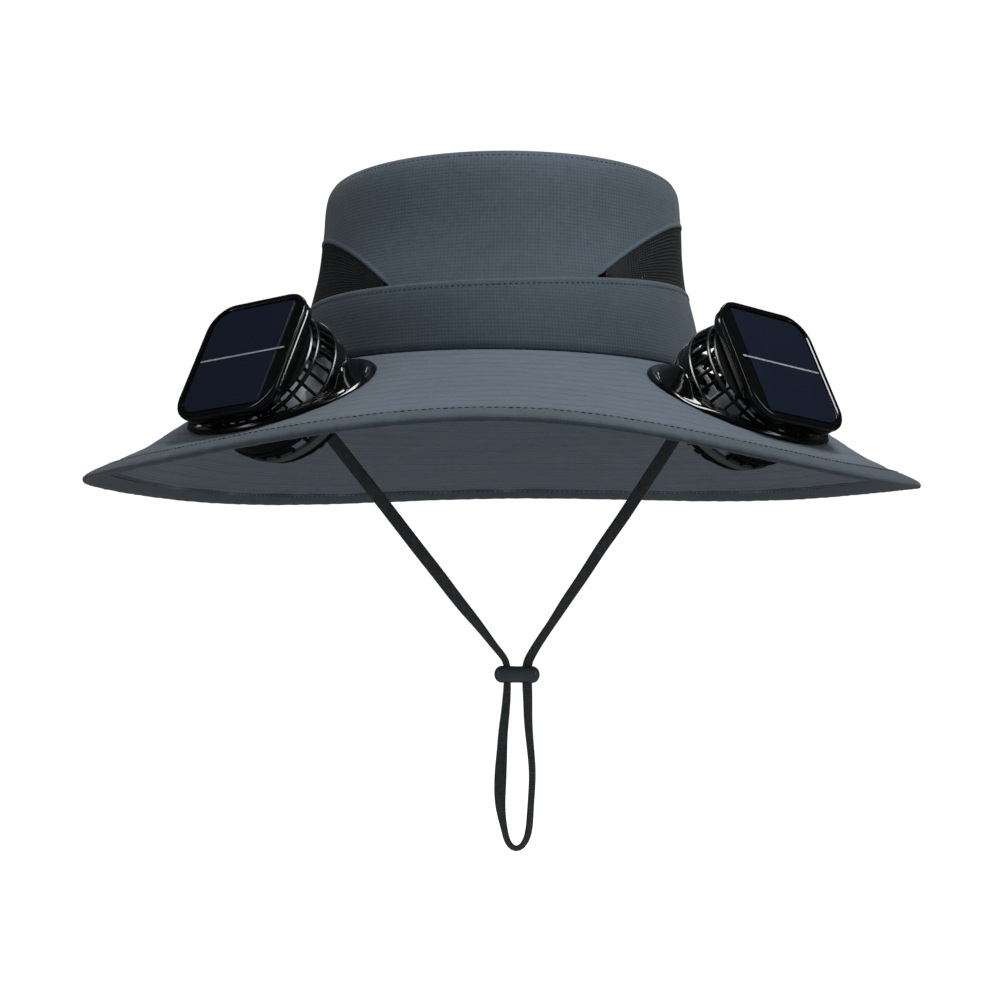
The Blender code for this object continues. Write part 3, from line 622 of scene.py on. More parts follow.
# soft pill with a pinched middle and two slots for the lace
def buildLock():
    half, halfHeight = 0.5 * cordLock["length"], 0.5 * cordLock["height"]
    pinch, pinchReach = cordLock["pinch"]
    outlines = []
    for i in range(1, cordLock["steps"]):
        turn = math.pi * i / cordLock["steps"]
        x = -half * math.cos(turn) * (1.0 + cordLock["swell"] * math.sin(turn) ** 2)
        end = max(0.0, abs(x) - (half - halfHeight)) / halfHeight
        size = math.sqrt(max(0.0, 1.0 - end ** cordLock["endPower"]))
        size *= 1.0 - pinch * bell(x, pinchReach * half)
        outline = []
        for a in wholeTurn(cordLock["sides"]):
            rise = math.copysign(abs(math.sin(a)) ** cordLock["facePower"], math.sin(a))
            depth = 0.5 * cordLock["depth"] * math.cos(a)
            outline.append((x, depth * size, halfHeight * size * rise))
        outlines.append(outline)
    shape = bmesh.new()
    rings = loft(shape, outlines)
    for rim, x in ((rings[0], -half), (rings[-1], half)):
        tip = shape.verts.new((x, 0, 0))
        for j in range(len(rim)):
            shape.faces.new((rim[j], rim[(j + 1) % len(rim)], tip))
    piece = addPiece(
        "cordLock", meshFrom("cordLock", shape, 45.0), plastics["lock"], "hat",
        ["cord_lock"], Matrix.Translation(cordLock["centre"]),
    )
    long, wide = cordLock["slot"]
    for way in (-0.5, 0.5):
        middle = Vector(cordLock["centre"]) + Vector((way * cordLock["slotApart"], 0, 0))
        cutHole(
            piece, 0.5 * wide, cordLock["slotReach"], 24,
            Matrix.Translation(middle)
            @ Matrix.Rotation(math.radians(cordLock["slotTurn"]), 4, "Z")
            @ Matrix.Diagonal((long / wide, 1.0, 1.0, 1.0)),
        )
    return piece


addCamera()
buildLace(buildLock())
print("stage: camera, lace and lock")


def leaning(point):
    share = point.z / hat["crownHeight"]
    rise = hat["crownSag"] * share * point.x / hat["headHalf"][0]
    return Vector((point.x - along(hat["crownLean"], share), point.y, point.z + rise))


def crownPoint(angle, height, out=0.0):
    share = along(hat["crownSections"], height / hat["crownHeight"])
    across, length = (half * share + out for half in hat["headHalf"])
    return leaning(Vector((across * math.cos(angle), length * math.sin(angle), height)))


def outward(angle):
    across, length = hat["headHalf"]
    return Vector((math.cos(angle) / across, math.sin(angle) / length, 0)).normalized()


def bandTop(angle):
    return hat["bandHeight"] * (1.0 + wave(hat["bandWaves"], angle))


# degrees from a direction, the short way round
def degreesFrom(angle, middle):
    return (math.degrees(angle) - middle + 180.0) % 360.0 - 180.0


def ventRise(angle):
    for _, middle, half in hat["vents"]:
        turn = abs(degreesFrom(angle, middle))
        if turn < half:
            return hat["ventHeight"] * (1.0 - (turn / half) ** hat["ventPower"])
    return 0.0


crown = {
    "columns": 300, "sideRows": 44, "bandRows": 26,
    "dents": 0.0011, "dentScale": 26.0,
    "bandWall": 0.0018, "bandUvRadius": 0.098, "sideUvRadius": 0.085,
    # height, distance under the edge, width: the folded edge and the sewn line
    "bandFold": (0.00012, 0.0012, 0.0008), "bandSewn": (-0.00015, 0.0026, 0.0006),
    "bandTurnIn": 0.0007,
    "hem": 0.0005, "hemWidth": 0.0024, "hemStart": (-0.0004, 0.0008), "hemFade": 0.004,
    "sideTuck": 0.0008, "topSeamIn": 0.0009, "bandSeamIn": 0.00025,
    "topTurnIn": (-0.0012, 0.0, 0.0018), "topSewn": (-0.0002, 0.0016, 0.0006),
    # metres inwards, metres up: how the side's top edge turns over to the tip
    "curl": ((0.0019, 0.0005), (0.0029, 0.0007), (0.0040, 0.0005), (0.0048, -0.0002)),
    "stitch": {"pitch": 0.0025, "length": 0.0015, "thread": 0.00042, "lift": 0.0002},
}
tip = {
    "rings": 34, "dome": 0.0070, "domePower": 3.2, "inset": 0.0034, "lower": 0.0003,
    "middle": 0.015, "dents": 0.0009, "dentScale": 30.0,
}


# slow dents in worn cloth, none at both ends of a column
def wornDent(point, share):
    size = crown["dents"] * math.sin(math.pi * share)
    return size * noise.noise(point * crown["dentScale"])


def fold(row, under):
    height, place, width = row
    return height * bell(under - place, width)


# metres round and up from the foot for one column
def clothUv(points, angle, radius):
    up, marks = 0.0, [(angle * radius, 0.0)]
    for low, high in zip(points, points[1:]):
        up += (high - low).length
        marks.append((angle * radius, up))
    return marks


def buildBand():
    columns, uvs = [], []
    for angle in wholeTurn(crown["columns"]):
        top = bandTop(angle)
        points = []
        for row in range(crown["bandRows"] + 1):
            share = row / crown["bandRows"]
            under = top * (1.0 - share)
            out = hat["bandStep"] * smoothStep(0.0, 0.1, share)
            out += fold(crown["bandFold"], under) + fold(crown["bandSewn"], under)
            out -= crown["bandTurnIn"] * smoothStep(crown["bandTurnIn"], 0.0, under)
            place = crownPoint(angle, top * share, out)
            points.append(place + outward(angle) * wornDent(place, share))
        columns.append(points)
        uvs.append(clothUv(points, angle, crown["bandUvRadius"]))
    closeUvs(uvs, crown["bandUvRadius"])
    # the band's cloth is darker than the crown's by painted shade for the fans' shadows
    piece = addPiece(
        "crownBand", gridMesh("crownBand", columns, uvs, True), cloths["band"], "hat",
        ["crown_band"],
    )
    addWall(piece, crown["bandWall"])


# the raised hem along a vent's edge, fading out at the vent's tips
def ventHem(above, rise):
    if not rise:
        return 0.0
    hem = crown["hem"] * (1.0 - smoothStep(0.6, 1.0, above / crown["hemWidth"]))
    return hem * smoothStep(*crown["hemStart"], above) * smoothStep(0.0, crown["hemFade"], rise)


def buildSide():
    angles = set(wholeTurn(crown["columns"]))
    for _, middle, half in hat["vents"]:
        angles.update(math.radians((middle + turn) % 360.0) for turn in (-half, half))
    columns, uvs = [], []
    for angle in sorted(angles):
        rise = ventRise(angle)
        bottom = bandTop(angle) + rise - (0.0 if rise else crown["sideTuck"])
        points = []
        for row in range(crown["sideRows"] + 1):
            share = row / crown["sideRows"]
            share = 0.5 * share + 0.5 * share * share  # closer rows at the hem
            height = bottom + (hat["crownHeight"] - bottom) * share
            under = hat["crownHeight"] - height
            place = crownPoint(angle, height)
            out = ventHem(height - bottom, rise) + wornDent(place, share)
            out += fold(crown["topTurnIn"], under) + fold(crown["topSewn"], under)
            points.append(place + outward(angle) * out)
        for inset, lift in crown["curl"]:
            points.append(crownPoint(angle, hat["crownHeight"], -inset) + Vector((0, 0, lift)))
        columns.append(points)
        marks = clothUv(points, angle, crown["sideUvRadius"])
        uvs.append([(u, v - marks[-1][1]) for u, v in marks])
    closeUvs(uvs, crown["sideUvRadius"])
    piece = addPiece(
        "crownSide", gridMesh("crownSide", columns, uvs, True), cloths["crown"], "hat",
        ["crown_side"],
    )
    addWall(piece, hat["crownWall"])


def buildTip():
    rim = hat["crownSections"][-1][1]
    across, length = (half * rim - tip["inset"] for half in hat["headHalf"])
    columns, uvs = [], []
    for angle in wholeTurn(crown["columns"]):
        points, marks = [], []
        for row in range(tip["rings"] + 1):
            size = 1.0 - (1.0 - tip["middle"]) * row / tip["rings"]
            rise = tip["dome"] * (1.0 - size ** tip["domePower"]) - tip["lower"]
            base = Vector((
                across * size * math.cos(angle), length * size * math.sin(angle),
                hat["crownHeight"] + rise,
            ))
            dents = tip["dents"] * (1.0 - size**6)
            base.z += dents * noise.noise(base * 1.3 * tip["dentScale"])
            points.append(leaning(base))
            marks.append((base.x, base.y))
        columns.append(points)
        uvs.append(marks)
    uvs.append(uvs[0])
    mesh = gridMesh("crownTip", columns, uvs, True)
    shape = bmesh.new()
    shape.from_mesh(mesh)
    reach = 2.0 * tip["middle"] * length
    bmesh.ops.holes_fill(shape, edges=[
        edge for edge in shape.edges
        if edge.is_boundary and edge.verts[0].co.xy.length < reach
    ])
    shape.to_mesh(mesh)
    shape.free()
    piece = addPiece("crownTip", mesh, cloths["crown"], "hat", ["crown_tip"])
    addWall(piece, hat["crownWall"])


# the sewn lines under the crown's top edge and under the band's top edge
def buildCrownSeams():
    angles = wholeTurn(crown["columns"])
    angles.append(angles[0])
    outs = [outward(angle) for angle in angles]
    sewn = bmesh.new()
    sewn.loops.layers.uv.new("cloth")
    top, topOut = hat["crownHeight"] - crown["topSewn"][1], -crown["topSeamIn"]
    bandUnder, bandOut = crown["bandSewn"][1], hat["bandStep"] - crown["bandSeamIn"]
    for line in (
        [crownPoint(angle, top, topOut) for angle in angles],
        [crownPoint(angle, bandTop(angle) - bandUnder, bandOut) for angle in angles],
    ):
        raised = [point + out * crown["stitch"]["lift"] for point, out in zip(line, outs)]
        addStitches(sewn, raised, outs, crown["stitch"])
    mesh = meshFrom("crownStitches", sewn)
    addPiece("crownStitches", mesh, cloths["thread"], "hat", ())


net = {
    "cell": 0.0019, "strand": 0.0012, "tip": 0.0001, "inset": 0.0005,
    "tuck": 0.0006, "lap": 0.0012, "uvRadius": 0.092,
}


# fine open net of crossed strands behind the hem
def buildVent(side, middle, half):
    reach = half * (1.0 - net["tip"] / hat["ventHeight"]) ** (1.0 / hat["ventPower"])
    count = round(math.radians(2.0 * reach) * net["uvRadius"] / net["cell"])
    rows = round(hat["ventHeight"] / net["cell"])
    columns, uvs = [], []
    for i in range(count + 1):
        angle = math.radians(middle - reach + 2.0 * reach * i / count)
        low, tall = bandTop(angle) - net["tuck"], ventRise(angle) + net["lap"]
        heights = [low + tall * row / rows for row in range(rows + 1)]
        columns.append([crownPoint(angle, height, -net["inset"]) for height in heights])
        uvs.append([(angle * net["uvRadius"], height) for height in heights])
    piece = addPiece(
        "meshNet_" + side, gridMesh("meshNet", columns, uvs), cloths["mesh"], "hat",
        ["mesh_vent_" + side],
    )
    wires = piece.modifiers.new("net", "WIREFRAME")
    wires.thickness = net["strand"]
    wires.use_even_offset = False
    wires.use_boundary = True


buildBand()
buildSide()
buildTip()
buildCrownSeams()
for vent in hat["vents"]:
    buildVent(*vent)
print("stage: crown")


# tilt axis, up across the panel, out of the panel, out of the base
def fanFrame(side):
    turn, drop = math.radians(fan["axisTurn"]), math.radians(-fan["axisDrop"])
    tilt = Vector((
        math.cos(turn) * math.cos(drop), math.sin(turn) * math.cos(drop), math.sin(drop),
    ))
    out = tilt.cross(Vector((0, 0, 1))).normalized()
    upward = out.cross(tilt).normalized()
    upward *= math.copysign(1.0, upward.z)
    lift, lean = math.radians(fan["panelLift"]), math.radians(fan["baseTilt"])
    face = out * math.cos(lift) + upward * math.sin(lift)
    up = upward * math.cos(lift) - out * math.sin(lift)
    base = out * math.sin(lean) + upward * math.cos(lean)
    return [Vector((axis.x * side, axis.y, axis.z)) for axis in (tilt, up, face, base)]


def ballCentre(side):
    x, y, z = fan["centre"]
    return Vector((side * x, y, z))


def ballMatrix(side):
    _, up, face, _ = fanFrame(side)
    return axesMatrix(up.cross(face), up, face, ballCentre(side))


def baseMatrix(side):
    tilt, _, _, base = fanFrame(side)
    across = tilt * side
    return axesMatrix(across, base.cross(across), base, ballCentre(side) - base * fan["ballHeight"])


brim = {
    "columns": 320, "rowPitch": 0.0078, "rowsPerPitch": 5,
    "groove": 0.00014, "grooveWidth": 0.0009, "ripple": 0.0006, "rippleScale": 55.0,
    # shares of the brim's width, and metres from a fan base, where the ripples start
    "rippleInside": (0.02, 0.2), "rippleOutside": (1.0, 0.85), "rippleFromFan": (0.042, 0.06),
    # in sizes of the flange: where the flat under a fan base ends and the cone starts
    "flat": (0.85, 1.60), "flatFromHead": 0.06,
    "edgeShort": 0.0013, "tuck": 0.0012, "uvRadius": 0.098, "uvStart": 0.09,
    "hole": (0.0351, 0.015),
}
binding = {
    "width": 0.0125, "uvRadius": 0.194, "sink": (0.0004, 0.0012),
    # height, number round the brim; height, scale
    "pucker": (0.00012, 190.0), "unevenness": (0.0002, 120.0),
    "stitchIn": 0.0016, "stitchLift": 0.0004,
    "stitch": {"pitch": 0.0028, "length": 0.0021, "thread": 0.00055},
}
baseFlat = {side: baseMatrix(side) for side in (-1.0, 1.0)}
baseFlatInverse = {side: matrix.inverted() for side, matrix in baseFlat.items()}


def brimReach(share):
    return [low + (high - low) * share for low, high in zip(hat["headHalf"], hat["brimHalf"])]


def brimCone(angle, share):
    middle, width, lift = hat["brimCurl"]
    curl = lift * bell(degreesFrom(angle, middle), width)
    edge = -hat["brimDrop"] * (1.0 - wave(hat["brimWaves"], angle) - curl)
    across, length = brimReach(share)
    return Vector((across * math.cos(angle), length * math.sin(angle), edge * share))


# share of the brim's width and angle at a spot, found by halving
def brimSpot(x, y):
    low, high = -0.2, 1.2
    for _ in range(24):
        share = 0.5 * (low + high)
        across, length = brimReach(share)
        if (x / across) ** 2 + (y / length) ** 2 > 1.0:
            low = share
        else:
            high = share
    return share, math.atan2(y / length, x / across)


# the brim lies flat under each fan base
def flattened(x, y, height, share):
    side = math.copysign(1.0, x)
    matrix = baseFlat[side]
    place, face = matrix.translation, matrix.col[2].to_3d()
    flat = place.z - (face.x * (x - place.x) + face.y * (y - place.y)) / face.z
    local = baseFlatInverse[side] @ Vector((x, y, flat))
    reach = math.hypot(local.x / fan["flange"][0], local.y / fan["flange"][1])
    hold = (1.0 - smoothStep(*brim["flat"], reach)) * smoothStep(0.0, brim["flatFromHead"], share)
    return height + (flat - height) * hold


def brimHeight(x, y):
    share, angle = brimSpot(x, y)
    return flattened(x, y, brimCone(angle, share).z, share)


def brimPoint(angle, share):
    place = brimCone(angle, share)
    place.z = flattened(place.x, place.y, place.z, share)
    return place


# soft ripples, none at the head seam, near the edge and under the fan bases
def brimRipple(place, share):
    near = min((place - matrix.translation).length for matrix in baseFlat.values())
    ripple = brim["ripple"] * noise.noise(place * brim["rippleScale"])
    for ease in ("rippleInside", "rippleOutside"):
        ripple *= smoothStep(*brim[ease], share)
    return ripple * smoothStep(*brim["rippleFromFan"], near)


def buildBrim():
    reach = hat["brimHalf"][0] - hat["headHalf"][0]
    slant = math.hypot(reach, hat["brimDrop"])
    edge = 1.0 - brim["edgeShort"] / reach
    rows = round(edge * slant / brim["rowPitch"] * brim["rowsPerPitch"])
    sinkDepth, sinkWidth = binding["sink"]
    columns, uvs = [], []
    for angle in wholeTurn(brim["columns"]):
        points = [crownPoint(angle, 0.0, -brim["tuck"])]
        marks = [(angle * brim["uvStart"], -brim["tuck"])]
        for row in range(rows + 1):
            share = edge * row / rows
            out = share * slant
            line = round(out / brim["rowPitch"])
            sink = sinkDepth * bell(out - slant + binding["width"], sinkWidth)
            if line:  # the sewn rows, from the first one outside the head seam
                off = out - line * brim["rowPitch"]
                sink += brim["groove"] * bell(off, brim["grooveWidth"])
            place = brimPoint(angle, share)
            points.append(place + Vector((0, 0, brimRipple(place, share) - sink)))
            marks.append((angle * (brim["uvRadius"] + share * reach), out))
        columns.append(points[::-1])
        uvs.append(marks[::-1])
    uvs.append([
        (u + 2.0 * math.pi * (brim["uvRadius"] + max(0.0, v) / slant * reach), v)
        for u, v in uvs[0]
    ])
    mesh = gridMesh("brim", columns, uvs, True)
    piece = addPiece("brim", mesh, cloths["brim"], "hat", ["brim"])
    addWall(piece, hat["brimWall"])
    for side in (-1.0, 1.0):
        cutHole(piece, *brim["hole"], 96, baseMatrix(side))


# metres in from the edge, height over the brim's top face; under is its lower face
def bindingSection(width, under):
    return [
        (width, 0.0001), (width - 0.0003, 0.0005), (width - 0.0009, 0.0006),
        (width - 0.0016, 0.00035), (width - 0.0028, 0.0007), (0.0050, 0.0009),
        (0.0022, 0.0008), (0.0008, 0.0004), (0.0001, -0.0004), (0.0, 0.5 * under),
        (0.0001, under + 0.0005), (0.0008, under - 0.0001), (0.0022, under - 0.0005),
        (0.0050, under - 0.0006), (width - 0.0028, under - 0.0005),
        (width - 0.0016, under - 0.0003), (width - 0.0009, under - 0.0005),
        (width - 0.0003, under - 0.0004), (width, under - 0.0001),
        # back along the inside of the fold
        (width - 0.0006, under + 0.0002), (0.0012, under + 0.0002),
        (0.0012, -0.0002), (width - 0.0006, -0.0002),
    ]


# folded tape round the brim's edge, a little puffed, sewn along its inner edge
def buildBinding():
    reach = hat["brimHalf"][0] - hat["headHalf"][0]
    width, under = binding["width"], -hat["brimWall"]
    section = bindingSection(width, under)
    columns, uvs = [], []
    lines = {"top": ([], []), "under": ([], [])}
    for angle in wholeTurn(brim["columns"]):
        low, high = brimPoint(angle, 1.0 - width / reach), brimPoint(angle, 1.0)
        side = Vector((-math.sin(angle), math.cos(angle), 0.0))
        face = (high - low).normalized().cross(side).normalized()
        face *= math.copysign(1.0, face.z)
        pucker = binding["pucker"][0] * math.sin(angle * binding["pucker"][1])
        pucker += binding["unevenness"][0] * noise.noise(high * binding["unevenness"][1])
        points = []
        for i, (inset, rise) in enumerate(section):
            puff = pucker if 2 <= i <= 8 else -pucker if 10 <= i <= 16 else 0.0
            points.append(low.lerp(high, 1.0 - inset / width) + face * (rise + puff))
        marks = clothUv(points, angle, binding["uvRadius"])
        columns.append(points + [points[0]])
        uvs.append(marks + [(marks[0][0], marks[-1][1] + 0.001)])
        sewnAt = low.lerp(high, binding["stitchIn"] / width)
        lift = binding["stitchLift"]
        for key, rise, way in (("top", lift, 1.0), ("under", under - 0.75 * lift, -1.0)):
            lines[key][0].append(sewnAt + face * rise)
            lines[key][1].append(face * way)
    closeUvs(uvs, binding["uvRadius"])
    mesh = gridMesh("brimBinding", columns, uvs, True)
    shape = bmesh.new()
    shape.from_mesh(mesh)
    bmesh.ops.remove_doubles(shape, verts=shape.verts, dist=0.000001)
    bmesh.ops.recalc_face_normals(shape, faces=shape.faces)
    shape.to_mesh(mesh)
    shape.free()
    addPiece("brimBinding", mesh, cloths["binding"], "hat", ["brim_binding"])
    sewn = bmesh.new()
    sewn.loops.layers.uv.new("cloth")
    for points, outs in lines.values():
        addStitches(sewn, points + [points[0]], outs + [outs[0]], binding["stitch"])
    mesh = meshFrom("bindingStitches", sewn)
    addPiece("bindingStitches", mesh, cloths["thread"], "hat", ())


buildBrim()
buildBinding()
print("stage: brim")


base = {
    "columns": 160, "steps": 22, "edge": 0.0012, "edgeSlope": 0.0014, "edgeRound": 0.0006,
    "thick": 0.0024, "seat": 0.0004,
    "opening": 0.0335, "collarWall": 0.0014, "collarLip": 0.0006,
    "skirtWall": 0.0012, "skirt": 0.0012,
    # degrees from the inner end, towards the front: crest radius, crest height over the brim
    "crestRadius": (
        (-60.0, 0.0352), (-30.0, 0.0362), (0.0, 0.0402), (17.0, 0.0410), (45.0, 0.0375),
    ),
    "crestHeight": (
        (-60.0, 0.0030), (-32.0, 0.0046), (-12.0, 0.0098), (0.0, 0.0112),
        (9.0, 0.0090), (18.0, 0.0034), (45.0, 0.0030),
    ),
    "crestFade": (38.0, 60.0),
    # metres round the collar and the crest where the ear's two sides start and end
    "earInside": (-0.0006, -0.0004), "earOutside": (0.0003, 0.0026),
    # depth, metres beyond the crest, width; degrees to its middle, degrees where it fades
    "scoop": (0.0011, 0.0022, 0.0016), "scoopTurn": (4.0, 14.0, 30.0),
    # height at its middle, radians to each side
    "outerSlope": (0.0022, 0.9), "slopeInside": (-0.001, 0.003), "slopeOutside": 0.006,
    "lipEase": (-0.0003, 0.0008), "rimDrop": 0.0003, "rimIn": 0.0002, "rimFoot": 0.0005,
}


# height of the base's top over the brim at one spot
def flangeRise(inner, front, edge, radius):
    turn = math.atan2(front, inner)
    angle = math.degrees(turn)
    collar = base["opening"] + base["collarWall"]
    rise = base["thick"]
    rise -= (base["thick"] - base["edge"]) * smoothStep(edge - base["edgeSlope"], edge, radius)
    if abs(angle) < base["crestFade"][1]:  # the raised ear and the scoop outside it
        crest = along(base["crestRadius"], angle)
        ear = along(base["crestHeight"], angle) - base["thick"]
        start, full = base["earInside"]
        ear *= smoothStep(collar + start, crest + full, radius)
        full, end = base["earOutside"]
        ear *= 1.0 - smoothStep(crest + full, crest + end, radius)
        rise += ear * (1.0 - smoothStep(*base["crestFade"], abs(angle)))
        depth, beyond, width = base["scoop"]
        middle, full, none = base["scoopTurn"]
        fade = 1.0 - smoothStep(full, none, abs(angle - middle))
        rise -= depth * bell(radius - crest - beyond, width) * fade
    height, reach = base["outerSlope"]
    outer = math.pi - abs(turn)
    if outer < reach:  # the smooth slope at the outer end
        slope = smoothStep(*base["slopeInside"], radius - collar)
        slope *= 1.0 - smoothStep(edge - base["slopeOutside"], edge, radius)
        rise += height * math.cos(outer / reach * math.pi / 2) * slope
    return rise + base["collarLip"] * (1.0 - smoothStep(*base["lipEase"], radius - collar))


def buildBase(name, side):
    matrix = baseMatrix(side)
    face = matrix.col[2].to_3d()
    opening, skirt = base["opening"], base["opening"] + base["skirtWall"]

    def brimUnder(x, y):
        rise = 0.0
        for _ in range(4):
            world = matrix @ Vector((x, y, rise))
            rise += (brimHeight(world.x, world.y) - world.z) * face.z
        return rise

    outlines = []
    for turn in wholeTurn(base["columns"]):
        cosine, sine = math.cos(turn), math.sin(turn)
        edge = 1.0 / math.hypot(cosine / fan["flange"][0], sine / fan["flange"][1])
        low = brimUnder(opening * cosine, opening * sine)
        far = brimUnder(edge * cosine, edge * sine)
        foot = far + base["seat"]
        points = [(edge - base["edgeRound"], foot), (edge, foot + base["rimFoot"])]
        for i in range(base["steps"] + 1):
            radius = max(opening, edge - (edge - opening) * i / base["steps"])
            ground = far + (low - far) * i / base["steps"]
            top = ground + flangeRise(-side * radius * cosine, -radius * sine, edge, radius)
            if i == 0:
                radius, top = radius - base["rimIn"], top - base["rimDrop"]
            points.append((radius, top))
        under = low - hat["brimWall"] - base["skirt"]
        points += [(opening, under), (skirt, under), (skirt, low + base["seat"])]
        outlines.append([(r * cosine, r * sine, z) for r, z in points])
    shape = bmesh.new()
    rings = loft(shape, outlines)
    joinRings(shape, [rings[-1], rings[0]])
    addPiece(
        "fanBase_" + name, meshFrom("fanBase", shape, 38.0), plastics["gloss"], "hat",
        ["fan_base_" + name], matrix,
    )


cage = {
    "ductTop": 0.0022, "ductBottom": -0.0065, "sides": 96, "wall": 0.0014, "ductInset": 0.0004,
    # height, radius added, width, depth
    "rings": (
        (0.0118, -0.0005, 0.0015, 0.0017), (0.0022, -0.0005, 0.0016, 0.0019),
        (-0.0065, -0.0006, 0.0016, 0.0019), (-0.0205, -0.0005, 0.0015, 0.0020),
    ),
    # count, width, depth, share of a step they are turned
    "upperRibs": (32, 0.0012, 0.0022, 0.0), "lowerRibs": (24, 0.0013, 0.0021, 0.5),
    "lowerRibEnd": -0.0282, "ribLap": 0.0010, "ribIntoPlate": 0.0006,
    # radius inside and outside, lowest height, thickness
    "plate": (0.0190, 0.0288, 0.0132, 0.0014), "plateEdge": 0.0005,
    "hub": 0.0090, "hubBottom": -0.0290, "hubTop": -0.0180,
    "pin": (0.0305, 0.0345, 0.0360), "pinWidth": 0.0044,
    # lowest and highest, metres out, wall
    "bowlBand": (-0.0168, -0.0122, 0.0003, 0.0015),
}


def onBall(height, out=0.0):
    lift = math.asin(height / fan["ballRadius"])
    radius = fan["ballRadius"] + out
    return radius * math.cos(lift), radius * math.sin(lift)


def addBallRibs(shape, settings, low, high, steps=8):
    count, width, depth, phase = settings
    ball = fan["ballRadius"]
    start, end = math.asin(low / ball), math.asin(high / ball)
    for n in range(count):
        turn = 2.0 * math.pi * (n + phase) / count
        flat = Vector((math.cos(turn), math.sin(turn), 0.0))
        side = Vector((-math.sin(turn), math.cos(turn), 0.0))
        outs = []
        for i in range(steps + 1):
            lift = start + (end - start) * i / steps
            outs.append(flat * math.cos(lift) + Vector((0, 0, math.sin(lift))))
        points = [out * (ball - 0.5 * depth) for out in outs]
        sweep(shape, points, [side] * len(points), outs, width, depth)


def addBallBand(shape, start, end, out, wall, steps):
    heights = [start + (end - start) * i / steps for i in range(steps + 1)]
    outside = [onBall(height, out) for height in heights]
    inside = [onBall(height, out - wall) for height in heights[::-1]]
    turned(shape, outside + inside, cage["sides"])


def buildCage(name, side):
    shape = bmesh.new()
    plateIn, plateOut, plateLow, plateThick = cage["plate"]
    plateTop, bevel = plateLow + plateThick, cage["plateEdge"]
    upper, lower, lap = cage["ductTop"], cage["ductBottom"], cage["ribLap"]
    addBallRibs(shape, cage["upperRibs"], upper - lap, plateLow + cage["ribIntoPlate"])
    turned(shape, [
        (plateIn, plateLow), (plateOut - bevel, plateLow), (plateOut, plateLow + bevel),
        (plateOut, plateTop - bevel), (plateOut - bevel, plateTop), (plateIn, plateTop),
    ], cage["sides"])
    addBallRibs(shape, cage["lowerRibs"], cage["lowerRibEnd"], lower + lap)
    for height, extra, width, depth in cage["rings"]:
        radius, level = onBall(height, extra)
        ring(shape, radius, level, width, depth, cage["sides"])
    addBallBand(shape, upper, lower, -cage["ductInset"], cage["wall"], 10)
    hub, foot, top = cage["hub"], cage["hubBottom"], cage["hubTop"]
    capEnds(shape, turned(shape, [
        (0.0004, foot), (hub - 0.002, foot), (hub - 0.0005, foot + 0.0004),
        (hub, foot + 0.0013), (hub, top - 0.0016), (hub - 0.0006, top - 0.0004),
        (hub - 0.002, top), (0.0004, top),
    ], 48, closed=False))
    for way in (-1.0, 1.0):  # tilt pins
        points = [Vector((way * x, 0, 0)) for x in cage["pin"]]
        width = cage["pinWidth"]
        straightBar(shape, points, Vector((0, 1, 0)), Vector((0, 0, 1)), width, width)
    addPiece(
        "fanCage_" + name, meshFrom("fanCage", shape, 35.0), plastics["cage"], "fan_" + name,
        ["fan_cage_" + name], ballMatrix(side),
    )
    # the smooth grey band round the bowl under the brim
    bowl = bmesh.new()
    addBallBand(bowl, *cage["bowlBand"], 8)
    addPiece(
        "bowlRing_" + name, meshFrom("bowlRing", bowl, 35.0), plastics["bowl"], "fan_" + name,
        (), ballMatrix(side),
    )


rotor = {
    "blades": 7, "hub": 0.0080, "tip": 0.0240, "bottom": -0.0176, "top": -0.0080,
    "pitch": (42.0, 26.0), "chord": (0.0060, 0.0040), "camber": 0.0011, "bladeHalf": 0.00045,
    "rootShare": 0.85, "sweepBack": 0.10, "steps": 8,
}


def bladePoint(share, across):
    root, tipRadius = rotor["hub"] * rotor["rootShare"], rotor["tip"]
    radius = root + (tipRadius - root) * share
    atHub, atTip = rotor["pitch"]
    pitch = math.radians(atHub - (atHub - atTip) * share)
    least, more = rotor["chord"]
    chord = (least + more * math.sin(math.pi * (0.15 + 0.6 * share))) * across
    camber = rotor["camber"] * (1.0 - 4.0 * across * across)
    sideways = chord * math.cos(pitch) - camber * math.sin(pitch)
    rise = chord * math.sin(pitch) + camber * math.cos(pitch)
    turn = sideways / radius + rotor["sweepBack"] * share * share
    middle = 0.5 * (rotor["top"] + rotor["bottom"])
    return Vector((radius * math.cos(turn), radius * math.sin(turn), middle + rise))


def buildRotor(name, side):
    shape = bmesh.new()
    hub, top, bottom, steps = rotor["hub"], rotor["top"], rotor["bottom"], rotor["steps"]
    capEnds(shape, turned(shape, [
        (0.0004, top), (hub - 0.0024, top), (hub - 0.0006, top - 0.0012),
        (hub, top - 0.003), (hub, bottom), (0.0004, bottom),
    ], 40, closed=False))
    # the spots round a blade's edge, and its small squares
    rim = [(i, 0) for i in range(steps)] + [(steps, j) for j in range(steps)]
    rim += [(steps - i, steps - j) for i, j in rim]
    squares = [(i, j) for i in range(steps) for j in range(steps)]
    for n in range(rotor["blades"]):
        spin = Matrix.Rotation(2.0 * math.pi * n / rotor["blades"], 4, "Z")
        upper, lower = {}, {}
        for skin, lift in ((upper, rotor["bladeHalf"]), (lower, -rotor["bladeHalf"])):
            for i in range(steps + 1):
                for j in range(steps + 1):
                    point = bladePoint(i / steps, j / steps - 0.5) + Vector((0, 0, lift))
                    skin[i, j] = shape.verts.new(spin @ point)
            for i, j in squares:
                corners = ((i, j), (i + 1, j), (i + 1, j + 1), (i, j + 1))
                shape.faces.new([skin[corner] for corner in corners])
        for a, b in zip(rim, rim[1:] + rim[:1]):
            shape.faces.new((upper[a], lower[a], lower[b], upper[b]))
    addPiece(
        "impeller_" + name, meshFrom("impeller", shape, 35.0), plastics["rotor"],
        "rotor_" + name, ["impeller_" + name], ballMatrix(side),
    )


